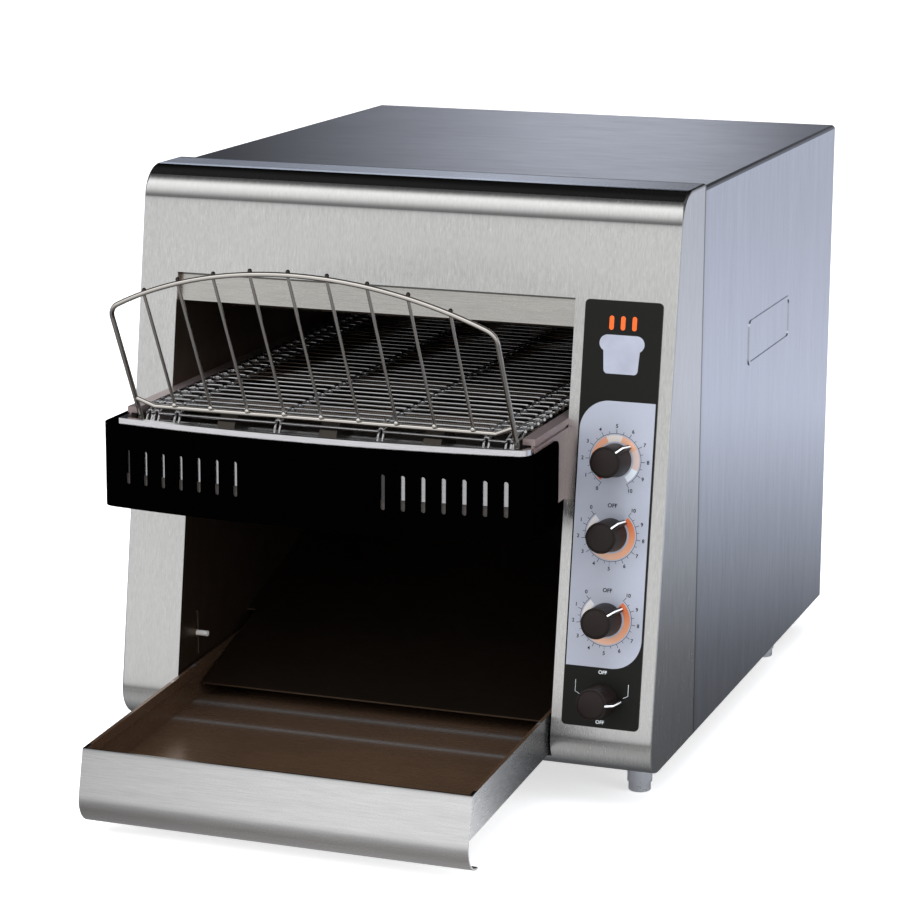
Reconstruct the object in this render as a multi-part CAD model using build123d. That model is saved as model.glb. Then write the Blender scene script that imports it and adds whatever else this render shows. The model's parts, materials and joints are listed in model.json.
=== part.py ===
"""Countertop conveyor toaster, front feed and front return.

Millimetres, +Z up, +X to the operator's right, -Y towards the operator.  The pieces are drawn from the
seam between the front panel and the rear cover (Y = 0 there) and from the counter (Z = 0); write() then
moves them so that the origin lies on the counter, under the middle of the whole toaster.
"""
from build123d import *
from math import asin, atan2, cos, degrees, hypot, pi, radians, sin, sqrt, tan
import os

os.makedirs("parts", exist_ok=True)

# ---------------------------------------------------------------- cabinet
body_width = 368.0          # over the rear cover's sides
cover_top = 394.0           # height of the rear cover
cover_depth = 374.0         # seam to back
sheet = 1.2                 # cabinet sheet steel
cover_corner = 3.0          # bend radius of the cover's top edges
leg_height = 28.0           # counter to the cabinet's underside
bezel_lift = 2.6            # how far the front panel stands above the cover
bezel_proud = 1.0           # how far its cheeks stand outside the cover
bezel_bend = 2.0            # bend radius between its face and its cheeks
hood_flat = 33.0            # flat strip on top of the front panel
hood_radius = 22.2          # rolled top edge
roll_radius = 20.5          # rolled bottom edge
panel_lean = 8.35           # degrees that the front face leans from upright
fit_gap = 0.3               # general clearance between pieces that move or drop in
tongue_reach = 18.0         # overlap of the base pan and the front panel
pan_edge = 15.0             # up-turned sides of the base pan

# ---------------------------------------------------------------- toasting chamber
left_bay = 26.0             # cover's left side to the chamber
control_bay = 66.0          # chamber to the cover's right side
ledge_width = 14.0          # the outlet below the conveyor is this much narrower on the left
wall_sheet = 1.0
wall_headroom = 22.0        # inner walls' tops to the cover's top
feed_height = 73.5          # belt to the top edge of the feed opening
baffle_drop = 19.0          # from that edge down to the edge of the recessed feed baffle
baffle_set_back = 4.0
baffle_lip = 6.0            # return along the baffle's lower edge
baffle_cover = 32.0         # baffle above the upper reflector

# ---------------------------------------------------------------- conveyor
belt_top = 255.0            # height of the belt
belt_side_gap = 11.0        # belt to the inner walls
belt_pitch = 12.7
belt_wire = 1.0             # radius
belt_teeth = 8
belt_span_count = 29        # pitches between the shafts
idler_y = -126.0
bend_spacing = 70.0         # between the belt's Z bends
edge_bend = 4.8             # between its double edge loops
wheel_width = 12.0          # belt wheels
hub_radius = 9.0
shaft_radius = 5.0
running_clearance = 0.05
rail_drop = 2.0             # belt's top to the rails' tops
rail_height = 51.0
rail_nose = 15.0            # rail ahead of the idler's axis
rail_tail = 20.0            # rail behind the drive shaft's axis
rail_flange = 8.0
rail_sheet = 1.2
bush_radius = 7.0
bush_flange = 1.5
bush_lip = 1.2

# ---------------------------------------------------------------- drive
chain_pitch = 9.525
chain_teeth = 12
chain_span_count = 12
chain_roller = 2.5          # radius
chain_plate = 0.9
chain_play = 0.6            # sprocket to link plate
chain_plane = 13.0          # centre of the chain, outside the right wall
sprocket_thickness = 4.0
notch_depth = 1.2           # of the belt's and the chain's sprockets
shaft_end = 3.0             # shaft past its sprocket
bracket_gap = 3.0           # chain wheel to the motor's bracket
bracket_plate = 2.0
bracket_edge = 6.0          # bracket past the gearbox
bracket_post = 2.5
gearbox_length = 52.0
gearbox_height = 56.0
gearbox_corner = 4.0
gearbox_margin = 4.0        # gearbox to the cover
motor_radius = 19.5
motor_length = 62.0
motor_cap = 6.0
output_depth = 13.0         # motor shaft inside the gearbox

# ---------------------------------------------------------------- feed guard
guard_overhang = 13.0       # guard past the chamber on the left
guard_sheet = 1.5
guard_drop = 11.0           # belt to the guard's top edge
guard_height = 54.5
guard_reach = 40.0          # idler's axis to the foremost point of the bow
guard_bow = 12.0            # depth of the bow
guard_corner = 10.0
guard_side = 69.0           # foremost point to the rear edge of the sides
guard_rear_corner = 5.0     # rounding of the right side's upper rear corner
slot_count = 7              # on each side
slot_pitch = 13.0
slot_width = 3.2
slot_length = 23.0
slot_base = 15.9            # guard's lower edge to the slots
slot_inset_left = 20.0      # guard's left side to the middle of the first slot
slot_inset_right = 15.0
rim_bead = 4.0
skirt_base = 7.0            # slots' lower ends to the rim's skirt
tab_half = 9.0              # half the width of the rim's tabs
spacer_radius = 4.0
spacer_rise = 10.0          # above the ledge
spacer_pitch = 18.0
nut_height = 3.0

# ---------------------------------------------------------------- bread rack
rack_wire = 1.6             # radius of the frame
rack_rod = 1.05             # radius of the upright rods
rack_bar = 1.5              # radius of the lower bar
rack_collar = 3.6           # radius of the stop on each pin
collar_height = 2.0
rack_shift = 2.0            # rack's middle to the right of the belt's
rack_pin_inset = 17.4       # guard's foremost point to the pins
rack_pin_length = 14.0
rack_lean = 28.5            # degrees forward
rack_bend_rise = 5.0        # guard's top to where the legs start to lean
rack_bar_rise = 8.5         # the other rises are taken from that bend
rack_shoulder_rise = 77.0   # where the arch meets the legs
rack_crown_rise = 108.0     # the arch's middle
rack_corner = 12.0
rack_rods = 9
rack_rod_pitch = 25.1
bar_end_rise = 6.0          # the bar's ends turn up to the legs
bar_end_run = 12.0

# ---------------------------------------------------------------- toast tray and ramp
tray_side_gap = 2.0         # tray to the chamber's walls
tray_front = -247.0         # top edge of the front wall
tray_rise = 29.0            # cabinet's underside to that edge
tray_tilt = 2.7             # degrees down to the front
tray_depth = 25.0
tray_length = 262.0
tray_lean = 16.0            # degrees that the front wall leans out
tray_curl = 17.0
tray_hem = 2.4
hem_depth = 7.2
tray_travel = 120.0
ramp_inset = 172.0          # tray's front edge to the ramp's lip
ramp_lip_rise = 11.0        # tray's floor to the lip
ramp_slope = 17.0           # degrees
ramp_gap = 24.0             # ramp to the back
ramp_rise = 45.0            # belt to the ramp's upper edge
ramp_radius = 60.0
ramp_notch = 90.0           # length of the ramp that lies between the tray's sides
runner_width = 10.0
runner_length = 88.0
pin_inset = 5.0             # ramp's lip to the guide pins
pin_rise = 18.6             # tray's rim to the guide pins
pin_reach = 8.0
pin_radius = 1.9
pin_slot_length = 30.0
pin_slot_width = 2.0

# ---------------------------------------------------------------- heaters
heater_radius = 4.5
product_clearance = 36.0    # belt to the upper heaters
heater_drop = 3.0           # lower heaters' axes above the shafts'
heater_rows = 3
top_row_set_back = 96.0     # front face to the first upper heater
top_row_pitch = 82.0
bottom_row_set_back = 13.1
bottom_row_pitch = 106.0
holder_size = 15.0
holder_depth = 9.0
holder_wall = 1.5
reflector_gap = 10.0        # upper heaters to their reflector
reflector_lead = 75.0       # reflector ahead of the first upper heater
reflector_edge = 13.0       # down-turned back edge
insulation_thickness = 30.0
lower_reflector_gap = 8.0
lower_reflector_edge = 4.0
shaft_room = 14.0           # lower reflector to the belt's wheels

# ---------------------------------------------------------------- controls
overlay_gap = 7.0           # chamber to the overlay
overlay_margin = 8.0        # overlay to the cover's side
overlay_foot = 11.3         # rolled edge to the overlay
overlay_thickness = 0.8
overlay_corner = 3.0
knob_drops = {"speed": 99.5, "top_heat": 146.5, "bottom_heat": 200.0, "power": 250.9}
knob_turns = {"speed": 45.0, "top_heat": 45.0, "bottom_heat": 53.0, "power": 90.0}
knob_radius = 10.8
knob_length = 22.5
knob_taper = 1.5
knob_edge = 0.8
pointer_reach = 13.4        # from the knob's axis
pointer_width = 2.4
knob_gap = 0.5
spindle_radius = 3.0
spindle_depth = 12.0        # bore in each switch
spindle_grip = 12.4         # spindle inside the knob
collar_radius = 4.8
switch_sizes = {            # width, height and depth of the body
    "speed_control": (24.0, 24.0, 14.0),
    "top_heat_switch": (34.0, 38.0, 32.0),
    "bottom_heat_switch": (34.0, 38.0, 32.0),
    "power_switch": (30.0, 30.0, 36.0),
}
blade_width = 6.0           # push-on terminals
blade_thickness = 0.8
blade_length = 8.0
board_front = 40.0
board_length = 86.0
board_height = 76.0
board_thickness = 1.6
board_post = 6.0
board_margin = 6.0
board_part_rise = 14.0      # board's lower edge to its transformer and capacitor
transformer_size = (22.0, 27.0, 28.0)
capacitor_radius = 8.0
capacitor_length = 26.0
connector_size = (7.0, 54.0, 10.0)

# ---------------------------------------------------------------- back and underside
vent_rows = 9
vent_pitch = 12.0
vent_width = 4.5
vent_length = 84.0
vent_drop = 158.0           # cover's top to the lowest vent
vent_spread = 101.0         # between the two stacks' middles
floor_vents = 5
floor_vent_front = 150.0
floor_vent_length = 48.0
screw_radius = 2.0
screw_head = 3.8
screw_head_height = 2.2
screw_depth = 6.0           # screw behind the back panel
screw_inset = 10.0
fan_size = 60.0
fan_depth = 25.0
fan_wall = 2.0
fan_rise = 84.0             # cabinet's underside to the fan's axis
fan_blades = 7
fan_hub = 11.5
fan_pin = 2.0
fan_strut = 3.0
blade_pitch = 40.0          # degrees
blade_chord = 18.0
finger_wire = 0.9           # radius of the finger guard's wire
finger_rings = (8.0, 16.0, 24.0)
finger_foot = 3.4
gland_rise = 34.0           # cabinet's underside to the cord's inlet
gland_reach = 14.0
gland_bore = 5.0
gland_thread = 8.0
gland_hexagon = 12.0
gland_flange = 5.0
gland_tail = 12.5           # thread inside the back panel
gland_chamfer = 1.5
block_front = 40.0          # terminal block
block_width = 42.0
block_length = 26.0
block_height = 16.0
block_pitch = 14.0
block_pole = (10.0, 18.0, 4.0)   # raised part of each pole
block_screw = 2.2           # radius of the screw holes
block_screw_pitch = 10.0
thermostat_radius = 9.0
thermostat_height = 10.0
thermostat_drop = 34.0      # from the inner wall's top
foot_radius = 7.35
foot_height = 6.0
foot_travel = 8.0
foot_stud = 4.0
foot_edge = 0.8
sleeve_radius = 8.25
sleeve_end = 2.0
leg_inset = 24.0            # cover's sides to the legs' axes
leg_front = -40.0
leg_rear_inset = 84.0       # legs' axes to the cover's back

# ---------------------------------------------------------------- plate pressed into the right side
plate_front = 125.0
plate_length = 117.0
plate_drop = 108.0          # cover's top to the plate's upper edge
plate_height = 31.5
plate_corner = 5.0
plate_border = 2.4
plate_relief = 0.6

# ---------------------------------------------------------------- worked-out places
half_width = body_width / 2
cheek_x = half_width + bezel_proud
inside_x = half_width - sheet
bezel_top = cover_top + bezel_lift
floor_top = leg_height + sheet
back_inside = cover_depth - sheet
lean_sin = sin(radians(panel_lean))
lean_cos = cos(radians(panel_lean))
outward = (-lean_cos, lean_sin)                        # (Y, Z) normal of the front face
hood_centre = (-hood_flat, bezel_top - hood_radius)
hood_end = (hood_centre[0] + hood_radius * outward[0], hood_centre[1] + hood_radius * outward[1])
roll_centre_z = leg_height + roll_radius
roll_centre_y = hood_end[0] + (roll_radius + (roll_centre_z - hood_end[1]) * lean_sin) / lean_cos
roll_centre = (roll_centre_y, roll_centre_z)
chamber_left = -half_width + left_bay
chamber_right = half_width - control_bay
outlet_left = chamber_left + ledge_width
wall_top = cover_top - wall_headroom
feed_top = belt_top + feed_height
baffle_bottom = feed_top - baffle_drop
belt_centre = (chamber_left + chamber_right) / 2
belt_left = chamber_left + belt_side_gap
belt_right = chamber_right - belt_side_gap
belt_radius = belt_pitch / (2 * sin(pi / belt_teeth))  # of the wires' centres round the sprockets
shaft_z = belt_top - belt_wire - belt_radius
drive_y = idler_y + belt_span_count * belt_pitch
rail_top = belt_top - rail_drop
ledge_height = rail_top - rail_height
ledge_under = ledge_height - wall_sheet
rail_front = idler_y - rail_nose
wheel_places = [belt_centre - bend_spacing, belt_centre, belt_centre + bend_spacing]
chain_radius = chain_pitch / (2 * sin(pi / chain_teeth))
chain_x = chamber_right + wall_sheet + chain_plane
bracket_x = chain_x + sprocket_thickness / 2 + bracket_gap
motor_z = shaft_z - chain_span_count * chain_pitch
guard_left = chamber_left - guard_overhang
guard_right = chamber_right + guard_sheet
guard_top = belt_top - guard_drop
guard_bottom = guard_top - guard_height
guard_front = idler_y - guard_reach
guard_rear = guard_front + guard_side
slot_bottom = guard_bottom + slot_base
rim_gap = guard_sheet + fit_gap
rim_bottom = slot_bottom + skirt_base
rack_centre = belt_centre + rack_shift
rack_half_width = (belt_right - belt_left) / 2
rack_pin_y = guard_front + rack_pin_inset
rack_bend = guard_top + rack_bend_rise
rack_pins = (rack_centre - rack_half_width, rack_centre + rack_half_width)
heater_top_z = belt_top + product_clearance + heater_radius
heater_bottom_z = shaft_z + heater_drop
top_row_front = hood_end[0] + (heater_top_z - hood_end[1]) * lean_sin / lean_cos + top_row_set_back
bottom_row_front = hood_end[0] + (heater_bottom_z - hood_end[1]) * lean_sin / lean_cos + bottom_row_set_back
top_rows = [top_row_front + top_row_pitch * row for row in range(heater_rows)]
bottom_rows = [bottom_row_front + bottom_row_pitch * row for row in range(heater_rows)]
thermostat_y = (top_rows[0] + top_rows[1]) / 2           # between two upper heaters
heater_places = [(y, heater_top_z) for y in top_rows] + [(y, heater_bottom_z) for y in bottom_rows]
reflector_z = heater_top_z + heater_radius + reflector_gap
reflector_front = top_row_front - reflector_lead
reflector_back = top_rows[-1] + (drive_y - top_rows[-1]) / 2
overlay_left = chamber_right + overlay_gap
overlay_right = half_width - overlay_margin
overlay_bottom = roll_centre_z + overlay_foot
overlay_top = feed_top
knob_x = (overlay_left + overlay_right) / 2
knob_heights = {knob: overlay_top - drop for knob, drop in knob_drops.items()}
tray_left = outlet_left + tray_side_gap
tray_right = chamber_right - tray_side_gap
tray_rim = leg_height + tray_rise
tray_slope = tan(radians(tray_tilt))
ramp_lip_y = tray_front + ramp_inset
ramp_back = cover_depth - ramp_gap
ramp_top = belt_top + ramp_rise
pin_y = ramp_lip_y + pin_inset
bay_x = (chamber_right + half_width) / 2
fan_bore = fan_size / 2 - fan_wall
fan_z = leg_height + fan_rise
fan_front = back_inside - fan_depth
gland_x = (outlet_left - wall_sheet - inside_x) / 2
gland_z = leg_height + gland_rise
rear_reach = cover_depth + gland_reach
leg_x = half_width - leg_inset
leg_rear = cover_depth - leg_rear_inset
leg_places = {"front_left": (-leg_x, leg_front), "front_right": (leg_x, leg_front),
              "rear_left": (-leg_x, leg_rear), "rear_right": (leg_x, leg_rear)}


def direction(angle):
    """Unit vector at an angle in degrees."""
    return cos(radians(angle)), sin(radians(angle))


def tray_point(along, up):
    """(Y, Z) of a point given along the tray's rim from its front edge, and square to the rim."""
    c, s = direction(tray_tilt)
    return tray_front + along * c - up * s, tray_rim + along * s + up * c


def tray_under(y):
    """Height of the tray's underside at a Y."""
    y0, z0 = tray_point(0, -tray_depth - sheet)
    return z0 + (y - y0) * tray_slope


tray_low = direction(270 - tray_lean)                  # down the tray's front wall
tray_square = direction(180 - tray_lean)               # out of it
curl_drop = tray_depth + sheet + 3                     # from the rim to where the wall starts to curl
curl_centre = (tray_low[0] * curl_drop - tray_square[0] * tray_curl,
               tray_low[1] * curl_drop - tray_square[1] * tray_curl)
tray_front_reach = tray_curl - tray_point(*curl_centre)[0]
ramp_lip_z = tray_point(ramp_inset, -tray_depth)[1] + ramp_lip_rise
pin_z = tray_point(ramp_inset + pin_inset, 0)[1] + pin_rise
seam_y = (tray_front_reach - rear_reach) / 2           # where the seam lies once the origin is centred


# ================================================================ small helpers
def box(x0, x1, y0, y1, z0, z1):
    """Block between two corners."""
    return Pos((x0 + x1) / 2, (y0 + y1) / 2, (z0 + z1) / 2) * Box(x1 - x0, y1 - y0, z1 - z0)


def rod_x(radius, x0, x1, y, z):
    """Round bar along X."""
    return Pos((x0 + x1) / 2, y, z) * Rot(0, 90, 0) * Cylinder(radius, x1 - x0)


def rod_y(radius, y0, y1, x, z):
    """Round bar along Y."""
    return Pos(x, (y0 + y1) / 2, z) * Rot(90, 0, 0) * Cylinder(radius, y1 - y0)


def rod_z(radius, z0, z1, x, y):
    """Round bar along Z."""
    return Pos(x, y, (z0 + z1) / 2) * Cylinder(radius, z1 - z0)


def across(face, x0, x1):
    """Prism between x0 and x1 of a face drawn as (Y, Z)."""
    return Pos(x0, 0, 0) * extrude(Plane.YZ * face, x1 - x0)


def polygon(*points):
    """Face with straight sides."""
    return make_face(Polyline(*points, close=True))


def write(name, *solids):
    """Move the solids to the toaster's own origin and save them as one sub-part."""
    placed = []
    for item in solids:
        for solid in item.solids():
            placed.append(Pos(0, seam_y, 0) * solid)
    part = placed[0] if len(placed) == 1 else Compound(children=placed)
    part.label = name
    export_step(part, f"parts/{name}.step")


# ================================================================ front face
def face_y(z):
    """Y of the front face's outer skin at a height."""
    return hood_end[0] + (z - hood_end[1]) * lean_sin / lean_cos


def face_plane(x, z):
    """Plane on the front face: local X to the right, local Y up the face, local Z outwards."""
    return Plane(origin=(x, face_y(z), z), x_dir=(1, 0, 0), z_dir=(0, *outward))


def hood_face(inset, back):
    """Side profile of the front end, set in from its outer skin and closed at Y = back."""
    top_radius = hood_radius - inset
    low_radius = roll_radius - inset
    mid_angle = (90 + 180 - panel_lean) / 2
    low_angle = (180 - panel_lean + 270) / 2
    hood_mid = direction(mid_angle)
    roll_mid = direction(low_angle)
    top_start = (hood_centre[0], hood_centre[1] + top_radius)
    top_mid = (hood_centre[0] + top_radius * hood_mid[0], hood_centre[1] + top_radius * hood_mid[1])
    top_end = (hood_centre[0] + top_radius * outward[0], hood_centre[1] + top_radius * outward[1])
    low_start = (roll_centre[0] + low_radius * outward[0], roll_centre[1] + low_radius * outward[1])
    low_mid = (roll_centre[0] + low_radius * roll_mid[0], roll_centre[1] + low_radius * roll_mid[1])
    low_end = (roll_centre[0], roll_centre[1] - low_radius)
    edges = [
        Line((back, top_start[1]), top_start),
        ThreePointArc(top_start, top_mid, top_end),
        Line(top_end, low_start),
        ThreePointArc(low_start, low_mid, low_end),
        Line(low_end, (back, low_end[1])),
        Line((back, low_end[1]), (back, top_start[1])),
    ]
    return make_face(edges)


def inside_cabinet(x0, x1, z_top):
    """Everything inside the front panel's skin and the back panel, below z_top."""
    shape = across(hood_face(sheet, back_inside), x0, x1)
    return shape & box(x0 - 1, x1 + 1, -body_width, cover_depth, floor_top, z_top)


# ================================================================ cabinet pieces
sill_top = tray_under(face_y(roll_centre_z) - sheet) - 4 * fit_gap
feed_opening = box(chamber_left, chamber_right, face_y(0), -roll_radius, ledge_under, feed_top)
outlet_opening = box(outlet_left, chamber_right, face_y(0), -roll_radius * 2, sill_top, ledge_under)


def bend_sides(block, radius):
    """Round the edges between the profile and the two sides of the front end."""
    sides = block.faces().filter_by(Axis.X).edges()
    rear = sides.group_by(Axis.Y)[-1]
    return fillet([edge for edge in sides if edge not in rear], radius)


def make_front_panel():
    """Bezel folded from one sheet: face, rolled hood, rolled foot and two cheeks."""
    skin = bend_sides(across(hood_face(0, 0), -cheek_x, cheek_x), bezel_bend)
    hollow = bend_sides(across(hood_face(sheet, sheet), -cheek_x + sheet, cheek_x - sheet), bezel_bend - sheet)
    panel = skin - hollow - feed_opening - outlet_opening
    for height in knob_heights.values():
        panel -= face_plane(knob_x, height) * Cylinder(collar_radius + fit_gap, 4 * sheet)
    return panel


def make_rear_cover():
    """Top and sides in one U-shaped sheet, with a plain raised plate pressed into the right side."""
    outer = box(-half_width, half_width, 0, cover_depth, leg_height, cover_top)
    ridges = outer.edges().filter_by(Axis.Y).group_by(Axis.Z)[-1]
    outer = fillet(ridges, cover_corner)
    inner = box(-inside_x, inside_x, -1, cover_depth + 1, 0, cover_top - sheet)
    ridges = inner.edges().filter_by(Axis.Y).group_by(Axis.Z)[-1]
    inner = fillet(ridges, cover_corner - sheet)
    return outer - inner + make_pressed_plate()


def make_pressed_plate():
    """Raised border of the blank name plate pressed into the cover's right side."""
    middle_z = cover_top - plate_drop - plate_height / 2
    middle = Plane(origin=(half_width - sheet / 2, plate_front + plate_length / 2, middle_z),
                   x_dir=(0, 1, 0), z_dir=(1, 0, 0))
    outline = RectangleRounded(plate_length, plate_height, plate_corner)
    hole = RectangleRounded(plate_length - 2 * plate_border, plate_height - 2 * plate_border,
                            plate_corner - plate_border / 2)
    return extrude(middle * (outline - hole), sheet / 2 + plate_relief)


def make_base_pan():
    """Bottom sheet behind the seam, with up-turned sides and a tongue inside the front panel."""
    pan = box(-inside_x, inside_x, 0, back_inside, leg_height, floor_top)
    for x0 in (-inside_x, inside_x - sheet):
        pan += box(x0, x0 + sheet, 0, back_inside, leg_height, floor_top + pan_edge)
    strips = ((-inside_x + sheet, outlet_left - wall_sheet - fit_gap),
              (outlet_left + runner_width + fit_gap, chamber_right - runner_width - fit_gap),
              (chamber_right + wall_sheet + fit_gap, inside_x - sheet))
    for x0, x1 in strips:
        pan += box(x0, x1, -tongue_reach, tongue_reach, floor_top, floor_top + sheet)
    for row in range(floor_vents):
        front = floor_vent_front + vent_pitch * row
        pan -= box(bay_x - floor_vent_length / 2, bay_x + floor_vent_length / 2, front, front + vent_width,
                   leg_height - 1, floor_top + 1)
    return pan


def back_screw_places():
    """(X, Z) of the screws round the back panel."""
    edge = inside_x - screw_inset
    low, high = floor_top + screw_inset, cover_top - sheet - screw_inset
    return [(x, z) for x in (-edge, 0, edge) for z in (low, high)] + \
           [(x, (low + high) / 2) for x in (-edge, edge)]


def make_back_panel():
    """Flat back with two stacks of vents, the fan's hole, the gland's hole and screw holes."""
    panel = box(-inside_x, inside_x, back_inside, cover_depth, floor_top, cover_top - sheet)
    slot = SlotOverall(vent_length, vent_width)
    for centre in (belt_centre - vent_spread / 2, belt_centre + vent_spread / 2):
        for row in range(vent_rows):
            z = cover_top - vent_drop + row * vent_pitch
            panel -= Pos(centre, back_inside - 1, z) * Rot(90, 0, 0) * extrude(slot, -3 * sheet)
    panel -= rod_y(fan_bore, back_inside - 1, cover_depth + 1, bay_x, fan_z)
    panel -= rod_y(gland_thread + fit_gap, back_inside - 1, cover_depth + 1, gland_x, gland_z)
    for x, z in back_screw_places():
        panel -= rod_y(screw_radius + 0.1, back_inside - 1, cover_depth + 1, x, z)
    corners = panel.edges().filter_by(Axis.Y).group_by(Axis.Z)[-1]
    return fillet(corners, cover_corner - sheet)


def make_back_screws():
    """Pan-head screws of the back panel, with the threads cut short behind it."""
    screws = []
    for x, z in back_screw_places():
        face = cover_depth + screw_head_height
        head = rod_y(screw_head, cover_depth, face, x, z)
        head -= box(x - 3, x + 3, face - 1, face + 1, z - 0.5, z + 0.5)
        screws.append(head + rod_y(screw_radius, back_inside - screw_depth, cover_depth, x, z))
    return screws


def make_left_wall():
    """Inner wall with the ledge that carries the left rail."""
    lower = inside_cabinet(outlet_left - wall_sheet, outlet_left, ledge_height)
    upper = inside_cabinet(chamber_left - wall_sheet, chamber_left, wall_top)
    upper &= box(chamber_left - 5, chamber_left, -body_width, cover_depth, ledge_under, wall_top)
    ledge = inside_cabinet(chamber_left - wall_sheet, outlet_left, ledge_height)
    ledge &= box(chamber_left - 5, outlet_left, -body_width, cover_depth, ledge_under, ledge_height)
    wall = lower + upper + ledge
    for y, z in heater_places:
        wall -= rod_x(heater_radius + fit_gap, chamber_left - 5, chamber_left + 5, y, z)
    wall -= pin_slot(outlet_left)
    return wall


def make_right_wall():
    """Flat inner wall between the chamber and the controls."""
    wall = inside_cabinet(chamber_right, chamber_right + wall_sheet, wall_top)
    for y, z in heater_places:
        wall -= rod_x(heater_radius + fit_gap, chamber_right - 5, chamber_right + 5, y, z)
    wall -= rod_x(shaft_radius + 2, chamber_right - 5, chamber_right + 5, drive_y, shaft_z)
    wall -= pin_slot(chamber_right)
    return wall


def pin_slot(x):
    """Upright slot behind each guide pin, cut above and below the pin's seat."""
    half = pin_slot_length / 2
    upper = box(x - 5, x + 5, pin_y - pin_slot_width / 2, pin_y + pin_slot_width / 2,
                pin_z + pin_radius + 1, pin_z + half)
    lower = box(x - 5, x + 5, pin_y - pin_slot_width / 2, pin_y + pin_slot_width / 2,
                pin_z - half, pin_z - pin_radius - 1)
    return upper + lower


def make_guide_pins():
    """Two short pins that keep the tray's sides down."""
    left = rod_x(pin_radius, outlet_left, outlet_left + pin_reach, pin_y, pin_z)
    right = rod_x(pin_radius, chamber_right - pin_reach, chamber_right, pin_y, pin_z)
    return [left, right]


def make_feed_baffle():
    """Strip hanging behind the top of the feed opening."""
    front = hood_face(sheet + baffle_set_back, 0)
    rear = hood_face(2 * sheet + baffle_set_back, sheet)
    strip = across(front - rear, chamber_left, chamber_right)
    strip &= box(chamber_left, chamber_right, -body_width, -hood_flat, baffle_bottom, reflector_z + baffle_cover)
    lower_edge = face_y(baffle_bottom) + sheet + baffle_set_back
    lip = box(chamber_left, chamber_right, lower_edge, lower_edge + baffle_lip, baffle_bottom, baffle_bottom + sheet)
    return strip + lip


# ================================================================ heaters and reflectors
def make_heaters(rows, z):
    """Quartz tubes across the chamber."""
    reach = holder_depth - holder_wall
    tubes = []
    for y in rows:
        tubes.append(rod_x(heater_radius, chamber_left - reach, chamber_right + reach, y, z))
    return tubes


def make_heater_holders(rows, z):
    """Ceramic blocks outside both walls that carry the tubes' ends."""
    holders = []
    half = holder_size / 2
    spots = ((chamber_left - wall_sheet - holder_depth, chamber_left - wall_sheet),
             (chamber_right + wall_sheet, chamber_right + wall_sheet + holder_depth))
    for y in rows:
        for x0, x1 in spots:
            block = box(x0, x1, y - half, y + half, z - half, z + half)
            block -= rod_x(heater_radius + running_clearance, chamber_left - holder_depth + holder_wall,
                           chamber_right + holder_depth - holder_wall, y, z)
            holders.append(block)
    return holders


def make_top_reflector():
    """Reflector above the upper tubes, with a down-turned back edge."""
    plate = box(chamber_left, chamber_right, reflector_front, reflector_back, reflector_z,
                reflector_z + wall_sheet)
    plate += box(chamber_left, chamber_right, reflector_back - wall_sheet, reflector_back,
                 reflector_z - reflector_edge, reflector_z)
    return plate


def make_top_insulation():
    """Blanket lying on the upper reflector."""
    z = reflector_z + wall_sheet
    return box(chamber_left, chamber_right, reflector_front + 8, reflector_back, z,
               z + insulation_thickness)


def make_bottom_reflector():
    """Reflector under the lower tubes, between the belt's two runs."""
    z = heater_bottom_z - heater_radius - lower_reflector_gap
    left, right = chamber_left + rail_sheet, chamber_right - rail_sheet
    front = idler_y + belt_radius + shaft_room
    back = drive_y - belt_radius - shaft_room
    plate = box(left, right, front, back, z, z + wall_sheet)
    for x0 in (left, right - wall_sheet):
        plate += box(x0, x0 + wall_sheet, front, back, z, z + lower_reflector_edge)
    return plate


# ================================================================ conveyor
def loop_stations(pitch, teeth, spans, first, along):
    """Pin places round an endless loop over two equal sprockets, in order, with each link's heading.

    first is the (Y, Z) centre of one sprocket, along the heading in degrees of the other.
    """
    radius = pitch / (2 * sin(pi / teeth))
    ahead = direction(along)
    side = direction(along + 90)
    second = (first[0] + spans * pitch * ahead[0], first[1] + spans * pitch * ahead[1])
    places = []
    for step in range(spans):
        places.append((first[0] + side[0] * radius + step * pitch * ahead[0],
                       first[1] + side[1] * radius + step * pitch * ahead[1]))
    for step in range(teeth // 2):
        turn = direction(along + 90 - step * 360 / teeth)
        places.append((second[0] + radius * turn[0], second[1] + radius * turn[1]))
    for step in range(spans):
        places.append((second[0] - side[0] * radius - step * pitch * ahead[0],
                       second[1] - side[1] * radius - step * pitch * ahead[1]))
    for step in range(teeth // 2):
        turn = direction(along - 90 - step * 360 / teeth)
        places.append((first[0] + radius * turn[0], first[1] + radius * turn[1]))
    stations = []
    for here, there in zip(places, places[1:] + places[:1]):
        heading = degrees(atan2(there[1] - here[1], there[0] - here[0]))
        stations.append((here[0], here[1], heading))
    return stations


def bend_places():
    """X of the belt's edge loops and Z bends."""
    inner = [belt_centre + (i - 1.5) * bend_spacing for i in range(4)]
    left = belt_left + belt_wire
    right = belt_right - belt_wire
    return [left, left + edge_bend] + inner + [right - edge_bend, right]


def make_belt():
    """Flat-flex wire belt: one strand for each pitch, each hooked to the next at its bends."""
    strand = rod_x(belt_wire, belt_left, belt_right, 0, 0)
    reach = belt_pitch - belt_wire - fit_gap
    for x in bend_places():
        strand += rod_y(belt_wire * 0.8, 0, reach, x, 0)
    strands = []
    for y, z, heading in loop_stations(belt_pitch, belt_teeth, belt_span_count, (idler_y, shaft_z), 0):
        strands.append(Pos(0, y, z) * Rot(heading, 0, 0) * strand)
    return strands


def notched_disc(radius, teeth, pin, thickness, phase):
    """Sprocket plate across X, with a round notch under each pin; its tips turn just clear of the pins."""
    disc = Rot(0, 90, 0) * Cylinder(radius - pin - fit_gap, thickness)
    for tooth in range(teeth):
        y, z = direction(phase + tooth * 360 / teeth)
        disc -= rod_x(pin + fit_gap + notch_depth, -thickness, thickness, radius * y, radius * z)
    return disc


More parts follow.
